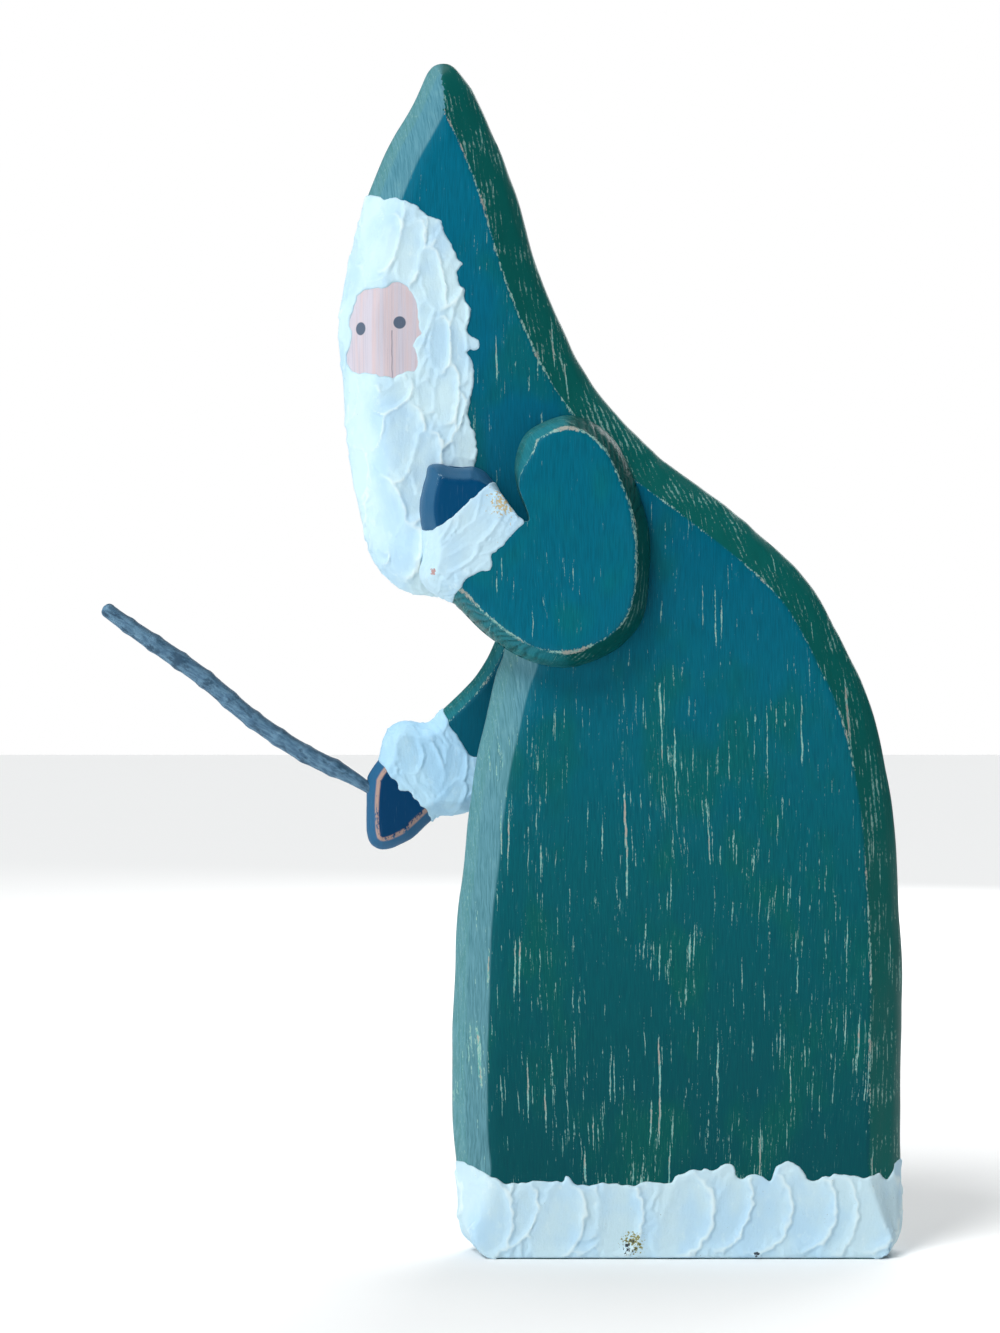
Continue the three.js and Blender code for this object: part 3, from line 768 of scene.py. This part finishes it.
farCuffPaste = {
    "node": "far_cuff_fur",
    "board": farArmBoard,
    "border": [
        (-170, 262), (-160.5, 253.5), (-154.3, 249.8), (-150.7, 245.7), (-148.1, 242.6), (-145.5, 239.5),
        (-142.9, 235.3), (-138.8, 234.8), (-135.7, 230.7), (-131.5, 226), (-128.9, 224), (-126, 214),
        (-112, 208), (-104, 214), (-102.5, 235), (-103.6, 251.9), (-108.2, 253.9), (-109.3, 256.5),
        (-112.9, 261.7), (-115, 265.3), (-119.1, 271), (-125, 286), (-150, 300),
    ],
    "openings": [],
    "step": 0.75,
    "dabs": 170,
    "dabLength": (12, 26),
    "dabWidth": (6, 12),
    "heading": (-0.35, 1.0),
    "headingSpread": 0.5,
    "placed": [(-127, 251, -0.45, 1.0, 34, 14, -1.5), (-116, 247, 0.2, 1.0, 26, 12, 1.5),
               (-139, 255, -0.15, 1.0, 26, 14, 1.0), (-117, 232, 0.5, 0.8, 22, 11, 1.2)],
    "thickness": 0.7,
    "rimHeight": 0.8,
    "seed": 24,
}
pasteLift = 0.12  # the sheet's underside stands this far into the board, so that no gap shows


def raggedBorder(border, seed):
    line = smoothLine(border, 1.2, closed=True)
    return line + np.column_stack([wobble(line, 5, seed + k) for k in (0, 1)]) * 0.45


def trimmed(points, triangles, field, *values):  # keeps what has field above 0, cut cleanly across triangles
    field = np.where(np.abs(field) < 0.15, 0.0, field)
    above = field > 0
    count = above[triangles].sum(1)
    keep = triangles[(count == 3) | ((field[triangles] >= 0).all(1) & (count > 0))]
    split = triangles[(count > 0) & (field[triangles] < 0).any(1)]
    made, number, faces = [], {}, []

    def cutAt(a, b):
        key = (a, b) if a < b else (b, a)
        if key not in number:
            t = field[key[0]] / (field[key[0]] - field[key[1]])
            number[key] = len(points) + len(made)
            made.append((key[0], key[1], t))
        return number[key]

    for triangle in split.tolist():
        shape = []
        for a, b in zip(triangle, triangle[1:] + triangle[:1]):
            if field[a] >= 0:
                shape.append(a)
            if field[a] * field[b] < 0:
                shape.append(cutAt(a, b))
        faces += [(shape[0], shape[i], shape[i + 1]) for i in range(1, len(shape) - 1)]
    mixes = [np.array([v[a] * (1 - t) + v[b] * t for a, b, t in made]) for v in (points, *values)]
    grown = [np.concatenate([v, m]) if made else v for v, m in zip((points, *values), mixes)]
    triangles = np.vstack([keep, np.array(faces, int).reshape(-1, 3)])
    return grown[0], triangles, *grown[1:]


def borderEdges(triangles):
    sides = np.vstack([triangles[:, [0, 1]], triangles[:, [1, 2]], triangles[:, [2, 0]]])
    known = set(map(tuple, sides.tolist()))
    return np.array([s for s in sides.tolist() if (s[1], s[0]) not in known])


def dabHeights(paste, points, normals):
    rng = np.random.default_rng(paste["seed"])
    lift = paste["thickness"] + 0.25 * wobble(points, 9, paste["seed"] + 5)
    tree = treeOf(points)
    base = np.array([paste["heading"][0], 0, paste["heading"][1]])
    dabs = []
    for pick in rng.integers(0, len(points), paste["dabs"]):
        turn = rng.normal(0, paste["headingSpread"])
        heading = np.array([base[0] * math.cos(turn) + base[2] * math.sin(turn), 0,
                            base[2] * math.cos(turn) - base[0] * math.sin(turn)])
        length, width = rng.uniform(*paste["dabLength"]), rng.uniform(*paste["dabWidth"])
        dabs.append((pick, heading, length, width, rng.normal(0, 1.6), rng.uniform(0.7, 1.15)))
    for x, z, headX, headZ, length, width, bend in paste["placed"]:
        nearY = min(paste["board"]["near"][-1][1], paste["board"]["ringDepth"])
        pick = tree.find((x, nearY, z))[1]
        dabs.append((pick, np.array([headX, 0, headZ]), length, width, bend, 1.15))
    for pick, heading, length, width, bend, strength in dabs:
        centre, normal = points[pick], normals[pick]
        heading = heading - normal * (heading @ normal)
        heading /= np.linalg.norm(heading)
        across = np.cross(heading, normal)
        close = np.nonzero(np.abs(points - centre).max(1) < 0.62 * length + abs(bend))[0]
        close = close[normals[close] @ normal > 0.35]
        away = points[close] - centre
        u = 2 * (away @ heading) / length
        w = 2 * (away @ across - bend * (1 - u * u)) / width
        reach = (np.abs(u) ** 2.6 + np.abs(w) ** 2.2) ** 0.42
        reach = reach + 0.05 * wobble(away, 5, int(pick) % 9973)
        inside = 1 - easeBetween(reach, 0.9, 1.04)
        lean = 0.45 + 0.55 * easeBetween(w, -0.7, 0.8)
        bristles = np.sin(w * width * rng.uniform(1.3, 2.2) + rng.uniform(0, 6)) * 0.035
        level = paste["thickness"] * (0.45 + 0.25 * rng.random()) + bristles * (1 - easeBetween(reach, 0.7, 0.9))
        shape = level + paste["rimHeight"] * strength * lean * easeBetween(reach, 0.35, 0.97) ** 2.2
        lift[close] += (shape - lift[close]) * inside
    return lift


def pasteTree():
    tree = bpy.data.node_groups.new("brushedPaste", "GeometryNodeTree")
    tree.is_modifier = True
    sockets = {}
    for label, kind in (("Geometry", "NodeSocketGeometry"), ("Relief", "NodeSocketFloat"),
                        ("Bristle relief", "NodeSocketFloat"), ("Bristle size", "NodeSocketFloat"),
                        ("Seed", "NodeSocketInt"), ("Paste", "NodeSocketMaterial")):
        sockets[label] = tree.interface.new_socket(name=label, in_out="INPUT", socket_type=kind)
    tree.interface.new_socket(name="Geometry", in_out="OUTPUT", socket_type="NodeSocketGeometry")
    given = put(tree, "NodeGroupInput").outputs

    def named(label, kind):
        node = put(tree, "GeometryNodeInputNamedAttribute", data_type=kind)
        node.inputs["Name"].default_value = label
        return node.outputs["Attribute"]

    outward, lift = named("outward", "FLOAT_VECTOR"), named("lift", "FLOAT")
    where = put(tree, "GeometryNodeInputPosition").outputs[0]
    size = calc(tree, "DIVIDE", 1.0, given["Bristle size"])
    noise = put(tree, "ShaderNodeTexNoise", {"Vector": where, "Scale": size, "W": given["Seed"], "Detail": 3.0},
                noise_dimensions="4D").outputs[0]
    grain = calc(tree, "MULTIPLY", calc(tree, "SUBTRACT", noise, 0.5), given["Bristle relief"])
    height = calc(tree, "ADD", calc(tree, "MULTIPLY", lift, given["Relief"]),
                  calc(tree, "MULTIPLY", grain, spread(tree, lift, 0.0, 0.6)))
    offset = put(tree, "ShaderNodeVectorMath", {0: outward, 3: height}, operation="SCALE").outputs[0]
    moved = put(tree, "GeometryNodeSetPosition", {"Geometry": given["Geometry"], "Offset": offset})
    real = put(tree, "GeometryNodeRealizeInstances", {"Geometry": moved.outputs[0]})
    dressed = put(tree, "GeometryNodeSetMaterial", {"Geometry": real.outputs[0], "Material": given["Paste"]})
    put(tree, "NodeGroupOutput", {0: dressed.outputs[0]})
    return tree, sockets


def dressWith(piece, tree, sockets, values):  # runs a node tree on a piece and keeps the plain result
    modifier = piece.modifiers.new("shape", "NODES")
    modifier.node_group = tree
    for label, value in values.items():
        modifier[sockets[label].identifier] = value
    shaped = piece.evaluated_get(bpy.context.evaluated_depsgraph_get())
    mesh = bpy.data.meshes.new_from_object(shaped)
    mesh.name = piece.name
    piece.modifiers.remove(modifier)
    return mesh


pasteNodes, pasteSockets = pasteTree()


def makePaste(paste, material):
    board = paste["board"]
    ragged = raggedBorder(paste["border"], paste["seed"])
    farRagged = raggedBorder(paste.get("farBorder", paste["border"]), paste["seed"] + 7)

    def closeBy(places):
        return np.maximum(depthInside(places, ragged[::3]), depthInside(places, farRagged[::3])) > -4

    grid = boardGrid(board, paste["step"], (paste["step"], paste["step"]), closeBy)
    near, far = boardSides(board, grid)
    places, rim, count = grid["places"], grid["rim"], len(near)
    nearField, farField = depthInside(places, ragged), depthInside(places, farRagged)
    for opening in paste["openings"]:
        nearField = np.minimum(nearField, -depthInside(places, raggedBorder(opening, paste["seed"] + 3)))
    if "tuckedUnder" in paste:  # ends a little way under the board that is glued on top
        cover, tuck = paste["tuckedUnder"]
        nearField = np.minimum(nearField, tuck - depthInside(places, ringOf(cover["node"], cover["ringDepth"])))
    if paste.get("nearOnly"):
        sheet, farField = grid["faces"], np.where(rim, nearField, -9.0)
    else:
        behind = np.where(rim, np.arange(count), np.arange(count) + count)
        sheet = np.vstack([grid["faces"], behind[grid["faces"]][:, ::-1]])
        nearField = np.where(rim & (nearField * farField < 0), np.minimum(nearField, farField), nearField)
    points, inset = np.vstack([near, far]), np.tile(grid["inset"], 2)
    field = np.concatenate([nearField, farField])
    if "chamferStop" in board:  # the square underside stays bare
        under = (points[sheet][:, :, 2] < 0.02).all(1)
        sheet = sheet[~under]
    points = uneven(board, points, vertexNormals(points, sheet), inset)
    points, sheet, inset = trimmed(points, sheet, field, inset)
    points, sheet, inset = usedOnly(points, sheet, inset)
    if "chamferStop" in board:
        points[:, 2] = np.maximum(points[:, 2], 0.6)
    normals = vertexNormals(points, sheet)
    edges = borderEdges(sheet)
    fromBorder = distanceTo(treeOf(points[np.unique(edges)]), points)
    lift = dabHeights(paste, points, normals)
    taper = np.sqrt(np.clip(1 - (1 - np.clip(fromBorder / 1.5, 0, 1)) ** 2, 0, 1))
    lift = (0.12 + 0.88 * taper) * lift
    count = len(points)
    walls = np.vstack([np.column_stack([edges[:, 1], edges[:, 0], edges[:, 0] + count]),
                       np.column_stack([edges[:, 1], edges[:, 0] + count, edges[:, 1] + count])])
    triangles = np.vstack([sheet, sheet[:, ::-1] + count, walls])
    both = np.vstack([points, points - normals * pasteLift])
    piece = makePiece(paste["node"] + "_brushed", both, triangles, material,
                      lift=np.concatenate([lift, np.zeros(count)]),
                      outward=np.vstack([normals * mm, np.zeros((count, 3))]),
                      inset=np.tile(inset, 2))
    mesh = dressWith(piece, pasteNodes, pasteSockets, {
        "Relief": 1.0, "Bristle relief": 0.35, "Bristle size": 1.6 * mm, "Seed": paste["seed"], "Paste": material,
    })
    if "chamferStop" in board:  # nothing hangs below the foot
        for vertex in mesh.vertices:
            vertex.co.z = max(vertex.co.z, 0.1 * mm)
    mesh.shade_smooth()
    mesh.set_sharp_from_angle(angle=math.radians(75))
    piece.data = mesh
    handOver(piece, paste["node"])


pastePaint = {
    # ridge: the lighter tone of raised ridges, partly paste rubbed clean and partly a painted highlight
    "white": "c9e6f0", "thin": "b6d9ee", "ridge": "e6f6f7", "hollow": "a9c9d2", "dirt": "8a8f83",
}


def whitePaste(name, tint, marks=()):  # marks: x, z, reach, tone and how solid the mark is
    look = {**pastePaint, **tint}
    material, tree, shader, place = newMaterial(name, look["white"])
    y = partsOf(tree, place)[1]
    lift = attributeOf(tree, "lift")
    cloud = noiseOf(tree, place, (24, 24, 34), 0, 3)
    mottle = noiseOf(tree, place, (5, 5, 8), 4, 4, 0.65)
    brushed = noiseOf(tree, place, (0.9, 0.9, 4), 8, 3, 0.6)
    crumbs = noiseOf(tree, place, (1.3, 1.3, 1.3), 12, 3, 0.6)
    colour = blendTones(tree, spread(tree, cloud, 0.38, 0.66), look["white"], look["thin"])
    # lighter on the raised ridges: the paste rubbed cleaner there, and a painted highlight where they catch the light
    colour = blendTones(tree, spread(tree, lift, 1.0, 1.8, 0, 0.8), colour, look["ridge"])
    colour = blendTones(tree, spread(tree, lift, 0.5, 0.12, 0, 0.35), colour, look["hollow"])
    colour = blendTones(tree, spread(tree, mottle, 0.55, 0.8, 0, 0.35), colour, look["ridge"])
    grime = calc(tree, "MULTIPLY", spread(tree, crumbs, 0.68, 0.74), spread(tree, mottle, 0.5, 0.62, 0, 0.5))
    colour = blendTones(tree, grime, colour, look["dirt"])
    for markX, markZ, reach, markTone, amount in marks:
        spot = total(tree, (nearTo(tree, place, (markX, markZ), (reach, reach)), amount), crumbs)
        spot = calc(tree, "MULTIPLY", spread(tree, spot, 0.73, 0.79), calc(tree, "LESS_THAN", y, 0.0))
        colour = blendTones(tree, spot, colour, markTone)
    tree.links.new(colour, shader.inputs["Base Color"])
    shader.inputs["Specular IOR Level"].default_value = 0.25
    tree.links.new(spread(tree, brushed, 0.3, 0.7, 0.5, 0.68), shader.inputs["Roughness"])
    raise_(tree, shader, total(tree, (brushed, 0.5), (crumbs, 0.5)), 0.28)
    return material


print("paste")
makePaste(hoodPaste, whitePaste("hoodPaste", {}))
makePaste(hemPaste, whitePaste("hemPaste", {"white": "c3dfea"}, [
    (-25, 8, 13, "8b8a4f", 0.30), (-27, 6, 9, "2f3a44", 0.26), (38, 2.5, 3, "3c4650", 0.45)]))
makePaste(nearCuffPaste, whitePaste("nearCuffPaste", {"white": "c0dfee"}, [
    (-90, 381, 15, "bcae88", 0.30), (-125, 346.5, 3.2, "b08e8c", 0.45)]))
# the far cuff's paste is darker and bluer: painted shade on the arm set back behind the body
makePaste(farCuffPaste, whitePaste("farCuffPaste", {"white": "b0d8ee", "thin": "a3cfeb", "ridge": "d6edf5"}))


# The switch: a cut branch grown along a line by a node tree

switch = {
    "path": [(-298, 330.2), (-286.8, 321.8), (-265.9, 307.5), (-245.1, 292.7), (-224.3, 275), (-213.9, 267.2),
             (-193.1, 253.9), (-172.3, 243.5), (-162, 237.3), (-150, 230)],
    "depth": 28.65,
    "tipRadius": 3.8,
    "middleRadius": 4.6,
    "buttRadius": 2.9,
    "knotHeight": 0.5,
    "knots": 11.0,
    "barkRelief": 0.55,
    "seed": 31,
}


def switchTree():
    tree = bpy.data.node_groups.new("cutSwitch", "GeometryNodeTree")
    tree.is_modifier = True
    sockets = {}
    for label, kind in (("Geometry", "NodeSocketGeometry"), ("Tip radius", "NodeSocketFloat"),
                        ("Middle radius", "NodeSocketFloat"), ("Butt radius", "NodeSocketFloat"),
                        ("Knot height", "NodeSocketFloat"), ("Knots", "NodeSocketFloat"),
                        ("Bark relief", "NodeSocketFloat"), ("Seed", "NodeSocketInt"),
                        ("Bark", "NodeSocketMaterial")):
        sockets[label] = tree.interface.new_socket(name=label, in_out="INPUT", socket_type=kind)
    tree.interface.new_socket(name="Geometry", in_out="OUTPUT", socket_type="NodeSocketGeometry")
    given = put(tree, "NodeGroupInput").outputs
    line = put(tree, "GeometryNodeResampleCurve", {"Curve": given["Geometry"], "Count": 300}).outputs[0]
    along = put(tree, "GeometryNodeSplineParameter").outputs
    full = spread(tree, along["Factor"], 0.0, 0.25)
    thin = spread(tree, along["Factor"], 0.8, 0.94)
    radius = calc(tree, "MULTIPLY_ADD", full, calc(tree, "SUBTRACT", given["Middle radius"], given["Tip radius"]),
                  given["Tip radius"])
    radius = calc(tree, "MULTIPLY_ADD", thin, calc(tree, "SUBTRACT", given["Butt radius"], radius), radius)
    turn = calc(tree, "MULTIPLY", calc(tree, "MULTIPLY", along["Factor"], given["Knots"]), math.pi)
    knot = calc(tree, "POWER", calc(tree, "ABSOLUTE", calc(tree, "COSINE", turn)), 8.0)
    knot = calc(tree, "MULTIPLY", knot, calc(tree, "SUBTRACT", 1.0, thin))
    radius = calc(tree, "MULTIPLY_ADD", knot, given["Knot height"], radius)
    toTip = spread(tree, along["Length"], 0.0, 3.6 * mm, 1.0, 0.04, smooth=False)
    dome = calc(tree, "SQRT", calc(tree, "SUBTRACT", 1.0, calc(tree, "MULTIPLY", toTip, toTip)))
    radius = calc(tree, "MULTIPLY", radius, calc(tree, "MAXIMUM", dome, 0.12))
    sized = put(tree, "GeometryNodeSetCurveRadius", {"Curve": line, "Radius": radius}).outputs[0]
    ring = put(tree, "GeometryNodeCurvePrimitiveCircle", {"Resolution": 28, "Radius": 1.0}).outputs[0]
    branch = put(tree, "GeometryNodeCurveToMesh", {"Curve": sized, "Profile Curve": ring, "Fill Caps": True})
    if "Scale" in branch.inputs:
        tree.links.new(radius, branch.inputs["Scale"])
    where = put(tree, "GeometryNodeInputPosition").outputs[0]
    rough = put(tree, "ShaderNodeTexNoise", {"Vector": where, "Scale": 150.0, "W": given["Seed"], "Detail": 4.0,
                                             "Roughness": 0.6}, noise_dimensions="4D").outputs[0]
    height = calc(tree, "MULTIPLY", calc(tree, "SUBTRACT", rough, 0.5), given["Bark relief"])
    normal = put(tree, "GeometryNodeInputNormal").outputs[0]
    offset = put(tree, "ShaderNodeVectorMath", {0: normal, 3: height}, operation="SCALE").outputs[0]
    barked = put(tree, "GeometryNodeSetPosition", {"Geometry": branch.outputs[0], "Offset": offset})
    real = put(tree, "GeometryNodeRealizeInstances", {"Geometry": barked.outputs[0]})
    dressed = put(tree, "GeometryNodeSetMaterial", {"Geometry": real.outputs[0], "Material": given["Bark"]})
    put(tree, "NodeGroupOutput", {0: dressed.outputs[0]})
    return tree, sockets


def barkPaint():
    material, tree, shader, place = newMaterial("switchPaint", "466984")
    x, y, z = partsOf(tree, place)
    slope = math.radians(34)
    turned = joined(tree, total(tree, (x, math.cos(slope)), (z, -math.sin(slope))), y,
                    total(tree, (x, math.sin(slope)), (z, math.cos(slope))))
    streak = noiseOf(tree, turned, (6, 1.5, 1.5), 0, 4, 0.65)
    blotch = noiseOf(tree, turned, (9, 5, 5), 5, 3, 0.6)
    # painted shade: the side facing up and to the right is darkened by the surface's direction
    normal = put(tree, "ShaderNodeNewGeometry").outputs["Normal"]
    upperSideShade = put(tree, "ShaderNodeVectorMath", {0: normal, 1: (0.5, 0.15, 0.85)}, operation="DOT_PRODUCT").outputs["Value"]
    colour = blendTones(tree, spread(tree, streak, 0.35, 0.65), "3f6480", "5f86a0")
    colour = blendTones(tree, spread(tree, blotch, 0.5, 0.66, 0, 0.85), colour, "1d415a")
    colour = blendTones(tree, spread(tree, upperSideShade, 0.1, 0.9, 0, 0.75), colour, "24465b")
    colour = blendTones(tree, spread(tree, streak, 0.64, 0.74, 0, 0.5), colour, "8fa9b6")
    tree.links.new(colour, shader.inputs["Base Color"])
    shader.inputs["Roughness"].default_value = 0.62
    shader.inputs["Specular IOR Level"].default_value = 0.35
    raise_(tree, shader, streak, 0.4)
    return material


print("switch")
switchLine = bpy.data.curves.new("switchLine", "CURVE")
switchLine.dimensions = "3D"
spline = switchLine.splines.new("POLY")
centreLine = smoothLine(switch["path"], 2)
spline.points.add(len(centreLine) - 1)
for point, (x, z) in zip(spline.points, centreLine):
    point.co = (x * mm, switch["depth"] * mm, z * mm, 1)
switchCurve = bpy.data.objects.new("switch_twig_bark", switchLine)
bpy.context.scene.collection.objects.link(switchCurve)
bark = barkPaint()
switchNodes, switchSockets = switchTree()
switchMesh = dressWith(switchCurve, switchNodes, switchSockets, {
    "Tip radius": switch["tipRadius"] * mm, "Middle radius": switch["middleRadius"] * mm,
    "Butt radius": switch["buttRadius"] * mm, "Knot height": switch["knotHeight"] * mm,
    "Knots": switch["knots"], "Bark relief": switch["barkRelief"] * mm, "Seed": switch["seed"], "Bark": bark,
})
bpy.data.objects.remove(switchCurve)
switchMesh.shade_smooth()
switchPiece = bpy.data.objects.new("switch_twig_bark", switchMesh)
bpy.context.scene.collection.objects.link(switchPiece)
handOver(switchPiece, "switch_twig")


# Floor, light and camera

print("studio")
floorMesh = bpy.data.meshes.new("floor")
floorMesh.from_pydata([(-9, -9, 0), (9, -9, 0), (9, 9, 0), (-9, 9, 0)], [], [(0, 1, 2, 3)])
floor = bpy.data.objects.new("floor", floorMesh)
bpy.context.scene.collection.objects.link(floor)
floorMaterial, tree, shader, place = newMaterial("paleFloor", "f6f7f7")
shader.inputs["Base Color"].default_value = tone("f6f7f7")
shader.inputs["Roughness"].default_value = 0.9
shader.inputs["Specular IOR Level"].default_value = 0.1
floorMesh.materials.append(floorMaterial)

world = bpy.data.worlds.new("studio")
world.use_nodes = True
bpy.context.scene.world = world
tree = world.node_tree
tree.nodes.clear()
seen = put(tree, "ShaderNodeBackground", {0: tone("ffffff"), 1: 1.0}).outputs[0]
lighting = put(tree, "ShaderNodeBackground", {0: tone("f2f7fb"), 1: 0.09}).outputs[0]
direct = put(tree, "ShaderNodeLightPath").outputs["Is Camera Ray"]
mixed = put(tree, "ShaderNodeMixShader", {0: direct, 1: lighting, 2: seen}).outputs[0]
put(tree, "ShaderNodeOutputWorld", {0: mixed})

lights = {  # a place and what it points at in metres; a sun's size is its angle in degrees
    "key": {"kind": "SUN", "at": (-0.5, -0.62, 0.95), "to": (0, 0, 0), "size": 22, "power": 1.95},
    "above": {"kind": "SUN", "at": (0.05, 0.15, 1), "to": (0, 0, 0), "size": 40, "power": 1.25},
    "front": {"kind": "AREA", "at": (-1.5, -2.2, 0.8), "to": (-0.05, 0, 0.3), "size": 1.3, "power": 14},
    "side": {"kind": "AREA", "at": (-1.7, -0.32, 0.62), "to": (-0.1, 0, 0.33), "size": 0.6, "power": 4.5},
    "behind": {"kind": "AREA", "at": (0.8, 2.1, 1.2), "to": (0, 0, 0.3), "size": 1.4, "power": 24},
}
for name, look in lights.items():
    lamp = bpy.data.lights.new(name, look["kind"])
    lamp.energy = look["power"]
    if look["kind"] == "SUN":
        lamp.angle = math.radians(look["size"])
    else:
        lamp.shape, lamp.size = "SQUARE", look["size"]
    holder = bpy.data.objects.new(name, lamp)
    holder.location = look["at"]
    holder.rotation_euler = (Vector(look["to"]) - Vector(look["at"])).to_track_quat("-Z", "Y").to_euler()
    holder.visible_camera = False
    bpy.context.scene.collection.objects.link(holder)

camera = bpy.data.cameras.new("camera")
camera.lens = 84.56
camera.sensor_width = 36
cameraHolder = bpy.data.objects.new("camera", camera)
cameraHolder.location = (-0.0917, -1.6, 0.2992)
cameraHolder.rotation_euler = (math.radians(90), 0, 0)
bpy.context.scene.collection.objects.link(cameraHolder)
bpy.context.scene.camera = cameraHolder
bpy.context.scene.view_settings.view_transform = "Standard"
